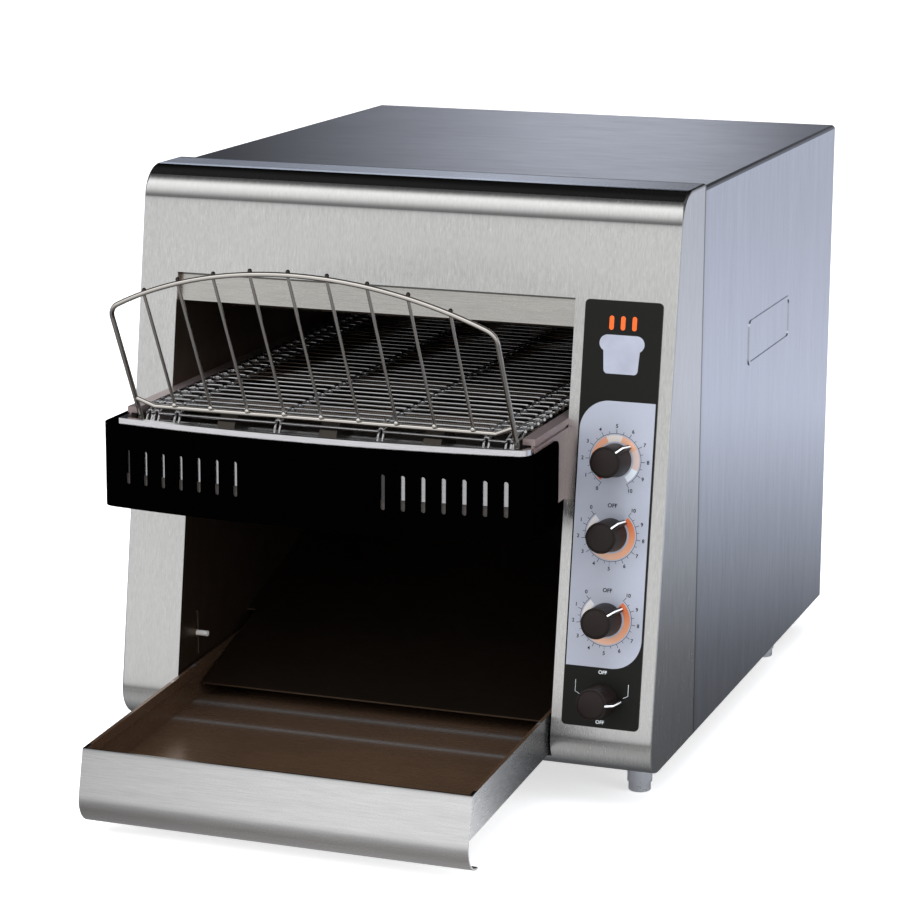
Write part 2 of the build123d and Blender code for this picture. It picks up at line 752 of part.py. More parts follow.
def make_drive_sprockets():
    """Three toothed wheels that pull the belt."""
    wheel = notched_disc(belt_radius, belt_teeth, belt_wire, wheel_width / 2, 90)
    wheel += rod_x(hub_radius, -wheel_width / 2, wheel_width / 2, 0, 0)
    wheel -= rod_x(shaft_radius, -wheel_width, wheel_width, 0, 0)
    return [Pos(x, drive_y, shaft_z) * wheel for x in wheel_places]


def make_idler_rollers():
    """Three plain wheels that turn the belt at the front."""
    wheel = rod_x(belt_radius - belt_wire - fit_gap, -wheel_width / 2, wheel_width / 2, 0, 0)
    wheel -= rod_x(shaft_radius, -wheel_width, wheel_width, 0, 0)
    return [Pos(x, idler_y, shaft_z) * wheel for x in wheel_places]


def make_idler_shaft():
    return rod_x(shaft_radius, chamber_left + fit_gap, chamber_right - fit_gap, idler_y, shaft_z)


def make_drive_shaft():
    end = chain_x + sprocket_thickness / 2 + shaft_end - fit_gap
    return rod_x(shaft_radius, chamber_left + fit_gap, end, drive_y, shaft_z)


def make_rail(face, inward):
    """Side rail: plate, narrow neck, cap strip on top and a foot flange; inward is +1 or -1."""
    def across_rail(near, far, z0, z1):
        x0, x1 = sorted((face + inward * near, face + inward * far))
        return box(x0, x1, rail_front, drive_y + rail_tail, z0, z1)

    plate = across_rail(0, rail_sheet, ledge_height, rail_top - 6)
    neck = across_rail(rail_sheet, 2 * rail_sheet, rail_top - 7, rail_top - 4)
    cap = across_rail(0, rail_flange, rail_top - 4, rail_top)
    foot = across_rail(rail_sheet, rail_flange, ledge_height, ledge_height + rail_sheet)
    rail = plate + neck + cap + foot
    for y in (idler_y, drive_y):
        rail -= rod_x(bush_radius, face - 15, face + 15, y, shaft_z)
    for y in bottom_rows:
        rail -= rod_x(heater_radius + fit_gap, face - 15, face + 15, y, heater_bottom_z)
    return rail


def make_bushings():
    """Flanged bushes of both shafts, seated in the rails."""
    bushes = []
    for y in (idler_y, drive_y):
        for face, inward in ((chamber_left, 1), (chamber_right, -1)):
            x0, x1 = sorted((face, face + inward * rail_sheet))
            f0, f1 = sorted((face + inward * rail_sheet, face + inward * (rail_sheet + bush_flange)))
            bush = rod_x(bush_radius, x0, x1, y, shaft_z)
            bush += rod_x(bush_radius + bush_lip, f0, f1, y, shaft_z)
            bush -= rod_x(shaft_radius + running_clearance, face - 9, face + 9, y, shaft_z)
            bushes.append(bush)
    return bushes


# ================================================================ nose: guard and rim
def nose_face(inset, rear):
    """Plan of the bowed nose, set in from the guard's outer skin and closed at Y = rear."""
    middle = (guard_left + guard_right) / 2
    half = (guard_right - guard_left) / 2
    radius = (half ** 2 + guard_bow ** 2) / (2 * guard_bow)
    centre_y = guard_front + radius
    side = half - inset
    inner = radius - inset
    corner_y = centre_y - sqrt(inner ** 2 - side ** 2)
    edges = [
        Line((middle - side, rear), (middle - side, corner_y)),
        ThreePointArc((middle - side, corner_y), (middle, centre_y - inner), (middle + side, corner_y)),
        Line((middle + side, corner_y), (middle + side, rear)),
        Line((middle + side, rear), (middle - side, rear)),
    ]
    plan = make_face(edges)
    corners = plan.vertices().filter_by(lambda v: v.Y < rear - 1)
    return fillet(corners, guard_corner - inset)


def slab(face, z0, z1):
    """Prism of a plan between two heights."""
    return Pos(0, 0, z0) * extrude(face, z1 - z0)


def make_feed_guard():
    """Black bowed guard with two groups of upright slots and a flange over its left end."""
    outer = slab(nose_face(0, guard_rear), guard_bottom, guard_top)
    inner = slab(nose_face(guard_sheet, guard_rear + 1), guard_bottom - 1, guard_top + 1)
    guard = outer - inner
    cap = slab(nose_face(guard_sheet / 2, guard_rear), guard_top - guard_sheet, guard_top)
    guard += cap & box(guard_left, chamber_left, guard_front - 1, guard_rear, 0, guard_top)
    slot = SlotOverall(slot_length, slot_width)
    middle_z = slot_bottom + slot_length / 2
    for step in range(slot_count):
        for x in (guard_left + slot_inset_left + step * slot_pitch,
                  guard_right - slot_inset_right - step * slot_pitch):
            cut = Plane(origin=(x, guard_front - 2, middle_z), x_dir=(0, 0, 1), z_dir=(0, 1, 0)) * slot
            guard -= extrude(cut, guard_bow + guard_sheet + 9)
    corner = guard.edges().filter_by(Axis.X).filter_by(
        lambda e: e.center().X > chamber_right and e.center().Y > guard_rear - 1 and e.center().Z > guard_top - 1)
    return fillet(corner, guard_rear_corner)


def make_front_rim():
    """Stainless skirt behind the guard, with a bead along its top and two tabs for the rack's pins."""
    tab_z = guard_top - rail_sheet
    span = box(chamber_left, chamber_right, guard_front, rail_front, 0, cover_top)

    def band(inset, width, z0, z1):
        outer = slab(nose_face(inset, rail_front), z0, z1)
        inner = slab(nose_face(inset + width, rail_front + 1), z0 - 1, z1 + 1)
        return (outer - inner) & span

    skirt = band(rim_gap, rail_sheet, rim_bottom, guard_top)
    bead = band(rim_gap, rim_bead, guard_top, guard_top + rim_bead)
    rim = skirt + bead
    rim += box(chamber_left, chamber_left + rail_sheet, nose_y(chamber_left, rim_gap), rail_front,
               rim_bottom, guard_top + rim_bead)
    plan = slab(nose_face(rim_gap, rail_front), tab_z, guard_top) & span
    for x in rack_pins:
        rim += plan & box(x - tab_half, x + tab_half, guard_front, rack_pin_y + rack_collar + 1, 0, cover_top)
    for x in rack_pins:
        rim -= rod_z(rack_wire + fit_gap, tab_z - 1, guard_top, x, rack_pin_y)
        rim -= rod_z(rack_collar + fit_gap, guard_top, guard_top + rim_bead + 1, x, rack_pin_y)
    return rim


def nose_y(x, inset):
    """Y of the nose's bowed skin at an X."""
    middle = (guard_left + guard_right) / 2
    half = (guard_right - guard_left) / 2
    radius = (half ** 2 + guard_bow ** 2) / (2 * guard_bow)
    return guard_front + radius - sqrt((radius - inset) ** 2 - (x - middle) ** 2)


def make_guard_fasteners():
    """Spacers with screws that hold the guard's sides to the rails."""
    pieces = []
    z = ledge_height + spacer_rise
    for y in (guard_rear - 3 * spacer_radius, guard_rear - 3 * spacer_radius - spacer_pitch):
        spacer = rod_x(spacer_radius, guard_left + guard_sheet, chamber_left, y, z)
        nut_face = chamber_right - rail_sheet
        nut = rod_x(spacer_radius, nut_face - nut_height, nut_face, y, z)
        pieces += [spacer, nut]
    return pieces


# ================================================================ bread rack
def make_bread_rack():
    """Arched wire rack with two upright pins, a lower bar and upright rods."""
    lean = radians(rack_lean)
    rise = cos(lean)
    plane = Plane(origin=(rack_centre, rack_pin_y, rack_bend), x_dir=(1, 0, 0),
                  z_dir=(0, -cos(lean), -sin(lean)))
    half = rack_half_width
    crown = rack_crown_rise / rise
    shoulder = rack_shoulder_rise / rise
    depth = crown - shoulder
    radius = (half ** 2 + depth ** 2) / (2 * depth)
    centre = crown - radius
    tip_x = half - rack_corner
    tip_y = centre + sqrt((radius - rack_corner) ** 2 - tip_x ** 2)
    touch = atan2(tip_y - centre, tip_x)
    end_x, end_y = radius * cos(touch), centre + radius * sin(touch)
    mid_x, mid_y = tip_x + rack_corner * cos(touch / 2), tip_y + rack_corner * sin(touch / 2)
    outline = [
        Line((-half, 0), (-half, tip_y)),
        ThreePointArc((-half, tip_y), (-mid_x, mid_y), (-end_x, end_y)),
        ThreePointArc((-end_x, end_y), (0, crown), (end_x, end_y)),
        ThreePointArc((end_x, end_y), (mid_x, mid_y), (half, tip_y)),
        Line((half, tip_y), (half, 0)),
    ]
    path = Wire([plane.from_local_coords(edge) for edge in outline])
    start = Plane(origin=plane.from_local_coords((-half, 0, 0)), z_dir=plane.y_dir)
    rack = sweep(start * Circle(rack_wire), path=path)
    for x in rack_pins:
        rack += rod_z(rack_wire, rack_bend - rack_pin_length, rack_bend, x, rack_pin_y)
        rack += Pos(x, rack_pin_y, rack_bend) * Sphere(rack_wire)
        collar_z = guard_top + fit_gap
        rack += rod_z(rack_collar, collar_z, collar_z + collar_height, x, rack_pin_y)
    bar_y = rack_bar_rise / rise
    bar = [(-half, bar_y + bar_end_rise), (-half + bar_end_run, bar_y), (half - bar_end_run, bar_y),
           (half, bar_y + bar_end_rise)]
    for a, b in zip(bar, bar[1:]):
        length = hypot(b[0] - a[0], b[1] - a[1])
        angle = degrees(atan2(b[1] - a[1], b[0] - a[0]))
        piece = Pos((a[0] + b[0]) / 2, (a[1] + b[1]) / 2) * Rot(0, 0, angle) * Rot(0, 90, 0)
        rack += plane * (piece * Cylinder(rack_bar, length))
    for corner in bar[1:3]:
        rack += plane * (Pos(*corner) * Sphere(rack_bar))
    for step in range(rack_rods):
        x = (step - (rack_rods - 1) / 2) * rack_rod_pitch
        top = centre + sqrt(radius ** 2 - x ** 2)
        rod = Pos(x, (bar_y + top) / 2) * Rot(90, 0, 0) * Cylinder(rack_rod, top - bar_y)
        rack += plane * rod
    return rack


# ================================================================ tray, runners, ramp
def make_toast_tray():
    """Shallow sloping tray, open at the back, with a leaning front wall that curls under."""
    lean_out = tan(radians(tray_lean))
    deep = tray_depth + sheet
    side = polygon(tray_point(0, 0), tray_point(-deep * lean_out, -deep),
                   tray_point(tray_length, -deep), tray_point(tray_length, 0))
    inner_front = sheet / cos(radians(tray_lean))
    hollow = polygon(tray_point(inner_front - lean_out * -5, 5),
                     tray_point(inner_front - tray_depth * lean_out, -tray_depth),
                     tray_point(tray_length + 5, -tray_depth), tray_point(tray_length + 5, 5))
    tray = across(side, tray_left, tray_right)
    tray -= across(hollow, tray_left + sheet, tray_right - sheet)
    # the front wall's skin runs on below the floor and rolls back under

    def on_arc(radius, angle):
        y, z = direction(angle)
        return tray_point(curl_centre[0] + radius * y, curl_centre[1] + radius * z)

    first, last = 180 - tray_lean, 270
    middle = (first + last) / 2
    inner = tray_curl - sheet
    inner_top = (-tray_square[0] * sheet, -tray_square[1] * sheet)
    skin = make_face([
        Line(tray_point(0, 0), on_arc(tray_curl, first)),
        ThreePointArc(on_arc(tray_curl, first), on_arc(tray_curl, middle), on_arc(tray_curl, last)),
        Line(on_arc(tray_curl, last), on_arc(inner, last)),
        ThreePointArc(on_arc(inner, last), on_arc(inner, middle), on_arc(inner, first)),
        Line(on_arc(inner, first), tray_point(*inner_top)),
        Line(tray_point(*inner_top), tray_point(0, 0)),
    ])
    tray += across(skin, tray_left, tray_right)
    hem = polygon(tray_point(0, 0), tray_point(0, -hem_depth), tray_point(tray_length, -hem_depth),
                  tray_point(tray_length, 0))
    for x0 in (tray_left, tray_right - tray_hem):
        tray += across(hem, x0, x0 + tray_hem)
    return tray


def make_tray_runners():
    """Sloping strips on the cabinet's floor that the tray slides on."""
    runners = []
    front = pin_y - pin_reach
    back = front + runner_length
    slope = polygon((front, floor_top + sheet), (back, floor_top + sheet),
                    (back, tray_under(back) - fit_gap), (front, tray_under(front) - fit_gap))
    foot = polygon((front, floor_top), (back, floor_top), (back, floor_top + sheet), (front, floor_top + sheet))
    for x0 in (outlet_left, chamber_right - runner_width):
        x1 = x0 + runner_width
        runners.append(across(slope, x0, x1) + across(foot, x0, x1))
    return runners


def make_toast_ramp():
    """Sheet that catches the toast behind the belt and lets it slide down to the tray."""
    rise = tan(radians(ramp_slope))
    foot_z = ramp_lip_z + (ramp_back - ramp_lip_y) * rise

    def skin(inset):
        drop = inset / cos(radians(ramp_slope))
        return FilletPolyline((ramp_back + inset, ramp_top), (ramp_back + inset, foot_z - drop + inset * rise),
                              (ramp_lip_y, ramp_lip_z - drop), radius=ramp_radius + inset)

    upper, lower = skin(0), skin(wall_sheet)
    face = make_face([upper, lower, Line((ramp_back, ramp_top), (ramp_back + wall_sheet, ramp_top)),
                      Line((ramp_lip_y, ramp_lip_z),
                           (ramp_lip_y, ramp_lip_z - wall_sheet / cos(radians(ramp_slope))))])
    sheet_solid = across(face, outlet_left, chamber_right)
    wide_from = ramp_lip_y + ramp_notch
    clear = tray_hem + 1.6
    for x0, x1 in ((outlet_left - 1, tray_left + clear), (tray_right - clear, chamber_right + 1)):
        sheet_solid -= box(x0, x1, ramp_lip_y - 1, wide_from, 0, ledge_height)
    return sheet_solid


# ================================================================ drive
def make_chain_sprocket(y, z):
    wheel = notched_disc(chain_radius, chain_teeth, chain_roller, sprocket_thickness, 0)
    wheel -= rod_x(shaft_radius, -sprocket_thickness, sprocket_thickness, 0, 0)
    return Pos(chain_x, y, z) * wheel


def make_chain():
    """Roller chain: inner links with rollers, outer link plates on their faces."""
    half = sprocket_thickness / 2 + chain_play
    inner = rod_x(chain_roller, -half, half, 0, 0) + rod_x(chain_roller, -half, half, chain_pitch, 0)
    for x0 in (-half - chain_plate, half):
        inner += link_plate(x0)
    outer = [link_plate(-half - 2 * chain_plate), link_plate(half + chain_plate)]
    links = []
    stations = loop_stations(chain_pitch, chain_teeth, chain_span_count, (drive_y, shaft_z), -90)
    for index, (y, z, heading) in enumerate(stations):
        place = Pos(chain_x, y, z) * Rot(heading, 0, 0)
        pieces = [inner] if index % 2 == 0 else outer
        links += [place * piece for piece in pieces]
    return links


def link_plate(x0):
    """Round-ended plate of one chain link, from the pin at Y = 0 to the next."""
    width = 1.7 * chain_roller
    shape = Pos(chain_pitch / 2, 0) * SlotOverall(chain_pitch + width, width)
    return across(shape, x0, x0 + chain_plate)


def make_motor():
    """Right-angle gear motor: gearbox, motor can and output shaft."""
    face = bracket_x + bracket_plate
    far = inside_x - gearbox_margin
    front = drive_y - gearbox_length / 2
    gearbox = box(face, far, front, front + gearbox_length, motor_z - gearbox_height / 2,
                  motor_z + gearbox_height / 2)
    gearbox = fillet(gearbox.edges().filter_by(Axis.X), gearbox_corner)
    centre_x = (face + far) / 2
    can = rod_y(motor_radius, front - motor_length, front, centre_x, motor_z)
    cap = rod_y(motor_radius - 5, front - motor_length - motor_cap, front - motor_length, centre_x, motor_z)
    seat = rod_x(shaft_radius + running_clearance, face - 1, face + output_depth + 1, drive_y, motor_z)
    return gearbox + can + cap - seat


def make_motor_sprocket():
    """Chain wheel and the output shaft that it is keyed to."""
    wheel = make_chain_sprocket(drive_y, motor_z)
    start = chain_x - sprocket_thickness / 2 - shaft_end
    shaft = rod_x(shaft_radius, start, bracket_x + bracket_plate + output_depth, drive_y, motor_z)
    return [wheel, shaft]


def make_motor_bracket():
    """Plate between chain and gearbox, on four posts from the inner wall."""
    half_length = gearbox_length / 2 + bracket_edge
    half_height = gearbox_height / 2 + bracket_edge
    plate = box(bracket_x, bracket_x + bracket_plate, drive_y - half_length, drive_y + half_length,
                motor_z - half_height, motor_z + half_height)
    plate -= rod_x(shaft_radius + 2, bracket_x - 1, bracket_x + bracket_plate + 1, drive_y, motor_z)
    for y in (drive_y - half_length + 2 * bracket_post, drive_y + half_length - 2 * bracket_post):
        for z in (motor_z - half_height + 2 * bracket_post, motor_z + half_height - 2 * bracket_post):
            plate += rod_x(bracket_post, chamber_right + wall_sheet, bracket_x, y, z)
    return plate


# ================================================================ controls
def make_overlay():
    """Thin control plate on the front face."""
    middle_z = (overlay_bottom + overlay_top) / 2
    length = (overlay_top - overlay_bottom) / lean_cos
    shape = RectangleRounded(overlay_right - overlay_left, length, overlay_corner)
    plate = face_plane(knob_x, middle_z) * extrude(shape, overlay_thickness)
    for height in knob_heights.values():
        plate -= face_plane(knob_x, height) * Cylinder(collar_radius + fit_gap, 8 * sheet)
    return plate


def make_control(height, width, length, depth):
    """Switch or potentiometer behind the front face, with its collar through the panel."""
    body = Pos(0, 0, -sheet - depth / 2) * Box(width, length, depth)
    body = fillet(body.edges().filter_by(Axis.Z), 2)
    body += Pos(0, 0, -sheet / 2 + overlay_thickness / 2) * Cylinder(collar_radius, sheet + overlay_thickness)
    bore_length = spindle_depth + overlay_thickness + 1
    body -= Pos(0, 0, overlay_thickness + 1 - bore_length / 2) * Cylinder(
        spindle_radius + running_clearance, bore_length)
    for x in (-width / 4, width / 4):
        body += Pos(x, 0, -sheet - depth - blade_length / 2) * Box(blade_thickness, blade_width, blade_length)
    return face_plane(knob_x, height) * body


def make_knob(height, turn):
    """Knob with a raised pointer, and the spindle that it is pressed on."""
    start = overlay_thickness + knob_gap
    grip = Pos(0, 0, start + knob_length / 2) * Cone(knob_radius, knob_radius - knob_taper, knob_length)
    grip = fillet(grip.edges().group_by(Axis.Z)[-1], knob_edge)
    fin_length = pointer_reach - knob_radius / 2
    pointer = Pos(0, knob_radius / 2 + fin_length / 2, start + knob_length / 2)
    pointer *= Box(pointer_width, fin_length, knob_length)
    knob = grip + pointer
    top = start + spindle_grip
    bottom = overlay_thickness + fit_gap - spindle_depth
    knob -= Pos(0, 0, start + spindle_grip / 2) * Cylinder(spindle_radius, spindle_grip)
    spindle = Pos(0, 0, (top + bottom) / 2) * Cylinder(spindle_radius, top - bottom)
    place = face_plane(knob_x, height)
    return [place * (Rot(0, 0, -turn) * knob), place * spindle]


# ================================================================ cooling fan and electrics
def make_fan_housing():
    """Square fan frame with its motor mount on three struts."""
    half = fan_size / 2
    frame = box(bay_x - half, bay_x + half, fan_front, back_inside, fan_z - half, fan_z + half)
    frame = fillet(frame.edges().filter_by(Axis.Y), 2 * fan_wall)
    frame -= rod_y(fan_bore, fan_front - 1, back_inside + 1, bay_x, fan_z)
    mount = rod_y(fan_hub, fan_front, fan_front + fan_strut, bay_x, fan_z)
    for angle in (90, 210, 330):
        strut = box(fan_hub - 1, fan_bore + fan_wall / 2, fan_front, fan_front + fan_strut,
                    -fan_strut / 2, fan_strut / 2)
        mount += Pos(bay_x, 0, fan_z) * Rot(0, angle, 0) * strut
    mount += rod_y(fan_pin, fan_front, back_inside - 2 * fan_strut, bay_x, fan_z)
    return frame + mount


def make_fan_rotor():
    """Hub and pitched blades."""
    front = fan_front + fan_strut + 3 * fit_gap
    rear = back_inside - fan_strut
    rotor = rod_y(fan_hub, front, rear, bay_x, fan_z)
    rotor -= rod_y(fan_pin + running_clearance, front - 1, rear - fan_strut + fit_gap, bay_x, fan_z)
    reach = fan_bore - fan_hub - fan_wall
    for index in range(fan_blades):
        blade = Pos(fan_hub + reach / 2 - 1, (front + rear) / 2, 0) * Rot(blade_pitch, 0, 0)
        blade *= Box(reach, 1.4, blade_chord)
        rotor += Pos(bay_x, 0, fan_z) * Rot(0, index * 360 / fan_blades, 0) * blade
    return rotor


def make_fan_guard():
    """Wire finger guard outside the back panel, on four feet."""
    y = cover_depth + 2.5 * finger_wire
    guard = Pos(bay_x, y, fan_z) * Rot(90, 0, 0) * Torus(fan_bore, finger_wire)
    for radius in finger_rings:
        guard += Pos(bay_x, y, fan_z) * Rot(90, 0, 0) * Torus(radius, finger_wire)
    first = finger_rings[0] - finger_wire
    reach = fan_bore + 2 * finger_foot
    for angle in (45, 135, 225, 315):
        c, s = direction(angle)
        spoke = Pos(0, 0, (first + reach) / 2) * Cylinder(finger_wire, reach - first)
        guard += Pos(bay_x, y, fan_z) * Rot(0, angle, 0) * spoke
        guard += rod_y(finger_foot, cover_depth, y + finger_wire, bay_x + s * reach, fan_z + c * reach)
    return guard


def make_cord_gland():
    """Gland body with its hexagon outside and its lock nut inside the back panel."""
    hexagon = extrude(RegularPolygon(gland_hexagon, 6), gland_flange)
    dome_length = gland_reach - gland_flange
    dome = Pos(0, 0, gland_flange + dome_length / 2)
    dome *= Cone(gland_hexagon - gland_chamfer, gland_thread - gland_chamfer / 3, dome_length)
    body = Pos(gland_x, cover_depth, gland_z) * Rot(-90, 0, 0) * (hexagon + dome)
    body += rod_y(gland_thread, back_inside - gland_tail, cover_depth, gland_x, gland_z)
    body -= rod_y(gland_bore, back_inside - gland_tail - 1, cover_depth + gland_reach + 1, gland_x, gland_z)
    nut = Pos(gland_x, back_inside - gland_flange, gland_z) * Rot(-90, 0, 0) * hexagon
    nut -= rod_y(gland_thread, back_inside - gland_tail, cover_depth, gland_x, gland_z)
    return [body, nut]


def make_terminal_block():
    """Power terminal block on the base pan, with two screw holes for each of its three poles."""
    x0 = bay_x - block_width / 2
    rear = block_front + block_length
    middle = (block_front + rear) / 2
    top = floor_top + block_height
    block = box(x0, x0 + block_width, block_front, rear, floor_top, top)
    for index in range(3):
        x = bay_x + (index - 1) * block_pitch
        block += Pos(x, middle, top + block_pole[2] / 2) * Box(*block_pole)
        for y in (middle - block_screw_pitch / 2, middle + block_screw_pitch / 2):
            block -= rod_z(block_screw, top + 1, top + block_pole[2] + 1, x, y)
    return block


def make_limit_thermostat():
    """High-limit disc on the outside of the right wall."""
    face = chamber_right + wall_sheet
    z = wall_top - thermostat_drop
    disc = rod_x(thermostat_radius, face, face + thermostat_height, thermostat_y, z)
    disc += box(face, face + 1, thermostat_y - thermostat_radius - 3, thermostat_y + thermostat_radius + 3,
                z - 5, z + 5)
    for blade_z in (z - 4, z + 4):
        disc += box(face + thermostat_height, face + thermostat_height + blade_length,
                    thermostat_y - blade_width / 2, thermostat_y + blade_width / 2,
                    blade_z - blade_thickness / 2, blade_z + blade_thickness / 2)
    return disc


def make_control_board():
    """Speed control board on posts from the right wall."""
    wall = chamber_right + wall_sheet
    back = wall + board_post
    face = back + board_thickness
    top = heater_bottom_z - holder_size / 2 - board_margin
    bottom = top - board_height
    rear = board_front + board_length
    board = box(back, face, board_front, rear, bottom, top)
    for y in (board_front + board_margin, rear - board_margin):
        for z in (bottom + board_margin, top - board_margin):
            board += rod_x(board_margin / 2, wall, back, y, z)
    part_front = board_front + 2 * board_margin
    part_bottom = bottom + board_part_rise
    connector_top = top - 2 * board_margin
    transformer = box(face, face + transformer_size[0], part_front, part_front + transformer_size[1],
                      part_bottom, part_bottom + transformer_size[2])
    capacitor = rod_x(capacitor_radius, face, face + capacitor_length,
                      rear - 2 * board_margin - capacitor_radius, part_bottom + capacitor_radius)
    connector = box(face, face + connector_size[0], part_front, part_front + connector_size[1],
                    connector_top - connector_size[2], connector_top)
    return board + transformer + capacitor + connector


# ================================================================ legs
def make_leg_sleeves():
    """Four sleeves fixed under the cabinet."""
    sleeves = []
    for x, y in leg_places.values():
        sleeve = rod_z(sleeve_radius, foot_height + fit_gap, leg_height, x, y)
        sleeve -= rod_z(foot_stud + running_clearance, 0, leg_height - sleeve_end, x, y)
        sleeves.append(sleeve)
    return sleeves


def make_foot(x, y):
    """Screw foot: pad and threaded stud."""
    foot = rod_z(foot_radius, 0, foot_height, x, y)
    foot = fillet(foot.edges().group_by(Axis.Z)[0], foot_edge)
    return foot + rod_z(foot_stud, foot_height, leg_height - sleeve_end - 1, x, y)


# ================================================================ write every sub-part
write("front_panel", make_front_panel())
write("rear_cover", make_rear_cover())
write("base_pan", make_base_pan())
write("back_panel", make_back_panel())
write("back_screws", *make_back_screws())
write("left_inner_wall", make_left_wall())
write("right_inner_wall", make_right_wall())
write("guide_pins", *make_guide_pins())
write("feed_baffle", make_feed_baffle())
write("top_reflector", make_top_reflector())
write("top_insulation", make_top_insulation())
write("bottom_reflector", make_bottom_reflector())
write("top_heaters", *make_heaters(top_rows, heater_top_z))
write("top_heater_holders", *make_heater_holders(top_rows, heater_top_z))
write("bottom_heaters", *make_heaters(bottom_rows, heater_bottom_z))
write("bottom_heater_holders", *make_heater_holders(bottom_rows, heater_bottom_z))
write("left_conveyor_rail", make_rail(chamber_left, 1))
write("right_conveyor_rail", make_rail(chamber_right, -1))
write("shaft_bushings", *make_bushings())
write("conveyor_belt", *make_belt())
write("drive_shaft", make_drive_shaft())
write("drive_sprockets", *make_drive_sprockets())
write("idler_shaft", make_idler_shaft())
write("idler_rollers", *make_idler_rollers())
write("driven_chain_sprocket", make_chain_sprocket(drive_y, shaft_z))
write("motor_sprocket", *make_motor_sprocket())
write("drive_chain", *make_chain())
write("gear_motor", make_motor())
write("motor_bracket", make_motor_bracket())
write("feed_guard", make_feed_guard())
write("guard_fasteners", *make_guard_fasteners())
write("conveyor_front_rim", make_front_rim())
write("bread_rack", make_bread_rack())
write("toast_tray", make_toast_tray())
write("tray_runners", *make_tray_runners())
write("toast_ramp", make_toast_ramp())
write("control_overlay", make_overlay())
for (switch, switch_size), switch_height in zip(switch_sizes.items(), knob_heights.values()):
    write(switch, make_control(switch_height, *switch_size))
for knob, knob_height in knob_heights.items():
    write(f"{knob}_knob", *make_knob(knob_height, knob_turns[knob]))
write("fan_housing", make_fan_housing())
write("fan_rotor", make_fan_rotor())
write("fan_guard", make_fan_guard())
write("cord_gland", *make_cord_gland())
write("terminal_block", make_terminal_block())
write("limit_thermostat", make_limit_thermostat())
write("control_board", make_control_board())
write("leg_sleeves", *make_leg_sleeves())
for corner, (foot_x, foot_y) in leg_places.items():
    write(f"{corner}_foot", make_foot(foot_x, foot_y))
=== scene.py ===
"""Looks of the countertop conveyor toaster: finishes, wire belt, knobs, dial prints and small fittings.

Metres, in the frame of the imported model: +Z up, +X to the operator's right, -Y towards the operator.
"""
import bpy
import json
from math import atan2, cos, pi, radians, sin
from mathutils import Matrix, Vector


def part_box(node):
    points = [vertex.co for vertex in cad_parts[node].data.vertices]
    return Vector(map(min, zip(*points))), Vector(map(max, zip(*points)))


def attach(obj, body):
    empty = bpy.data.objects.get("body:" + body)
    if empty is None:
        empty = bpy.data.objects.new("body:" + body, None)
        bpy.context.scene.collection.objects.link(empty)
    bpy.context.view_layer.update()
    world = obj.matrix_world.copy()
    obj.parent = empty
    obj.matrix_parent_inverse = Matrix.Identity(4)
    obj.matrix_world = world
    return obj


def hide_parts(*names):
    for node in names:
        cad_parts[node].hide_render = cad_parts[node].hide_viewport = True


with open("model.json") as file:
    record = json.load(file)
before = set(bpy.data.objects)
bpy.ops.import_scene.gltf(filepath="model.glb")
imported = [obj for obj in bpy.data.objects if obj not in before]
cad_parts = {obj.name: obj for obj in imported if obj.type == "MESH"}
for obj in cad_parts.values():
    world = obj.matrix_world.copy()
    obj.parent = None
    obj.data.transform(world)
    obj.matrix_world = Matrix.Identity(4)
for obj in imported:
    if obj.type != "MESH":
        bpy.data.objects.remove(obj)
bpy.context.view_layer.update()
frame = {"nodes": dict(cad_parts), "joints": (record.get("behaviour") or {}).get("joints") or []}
nodes = frame["nodes"]
joints = {joint["name"]: joint for joint in frame["joints"]}
mm = 0.001

# ---------------------------------------------------------------- camera
lens = 121.1                    # focal length in millimetres
sensor = 36                     # and width of the picture behind it
camera_place = (0.6824, -1.9322, 0.6551)
camera_turn = radians(19.773)   # to the left, from looking straight at the front
camera_dip = radians(12.706)    # downwards
camera_roll = radians(0.292)    # its right side raised

# ---------------------------------------------------------------- folds and seams of the sheets
hood_fold = 377.6 * mm          # height where the front face runs into the rolled hood
foot_fold = 51.5 * mm           # and into the rolled foot
hood_edge = -99.9 * mm          # front edge of the flat strip on top
seam_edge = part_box("front_panel")[1].y      # and its rear edge, in the seam to the cover
strip_shade_start = 50 * mm     # painted shade darkens the strip from here to the right
strip_shade_run = 80 * mm
tray_brow = 57.0 * mm           # height of the tray's front edge
hem_reach = 16 * mm             # from the tray's foremost point to behind its hem
rear_crease = 8 * mm            # from the ramp's lip forward to the creases in the tray's floor, which get painted highlights
front_crease = 42 * mm
left_slot_inset = 17.5 * mm     # first slot of each group, from the guard's ends
right_slot_inset = 95.5 * mm
slot_reach = 4.2 * mm           # half the width of the dark patch behind a slot

# ---------------------------------------------------------------- wire belt
belt_wire = 1.0 * mm            # radius of its wire
belt_pitch = 12.7 * mm          # from strand to strand
belt_teeth = 8                  # strands to a full turn round a shaft
hook_half = 1.7 * mm            # half the width of a hooked bend
edge_bend = 4.8 * mm            # between the two bends at each edge
middle_bends = 4
bend_spacing = 70.0 * mm        # between the bends across the middle

# ---------------------------------------------------------------- knobs
knob_base = 10.8 * mm           # radius at the dial
knob_front = 9.3 * mm           # and at the front
knob_length = 22.5 * mm
knob_gap = 0.5 * mm             # between a knob and the overlay
knob_rounding = 0.9 * mm
knob_border = 1.6 * mm          # rim round the hollow in the front
knob_hollow = 0.25 * mm
fin_reach = 13.4 * mm           # from the axis to the pointer's ridge
fin_width = 3.0 * mm
fin_step = 0.4 * mm             # the pointer ends this far behind the knob's front
fin_cut_back = 5.0 * mm         # its front corner is cut off by this much along the knob
fin_cut_in = 3.8 * mm           # and by this much across it
fin_rounding = 0.15 * mm
line_width = 1.1 * mm           # white line on the pointer
line_proud = 0.12 * mm
line_start = knob_front - 1.2 * mm      # from the axis
knob_turns = {"speed_knob": 45.0, "top_heat_knob": 45.0, "bottom_heat_knob": 53.0, "power_knob": 90.0}

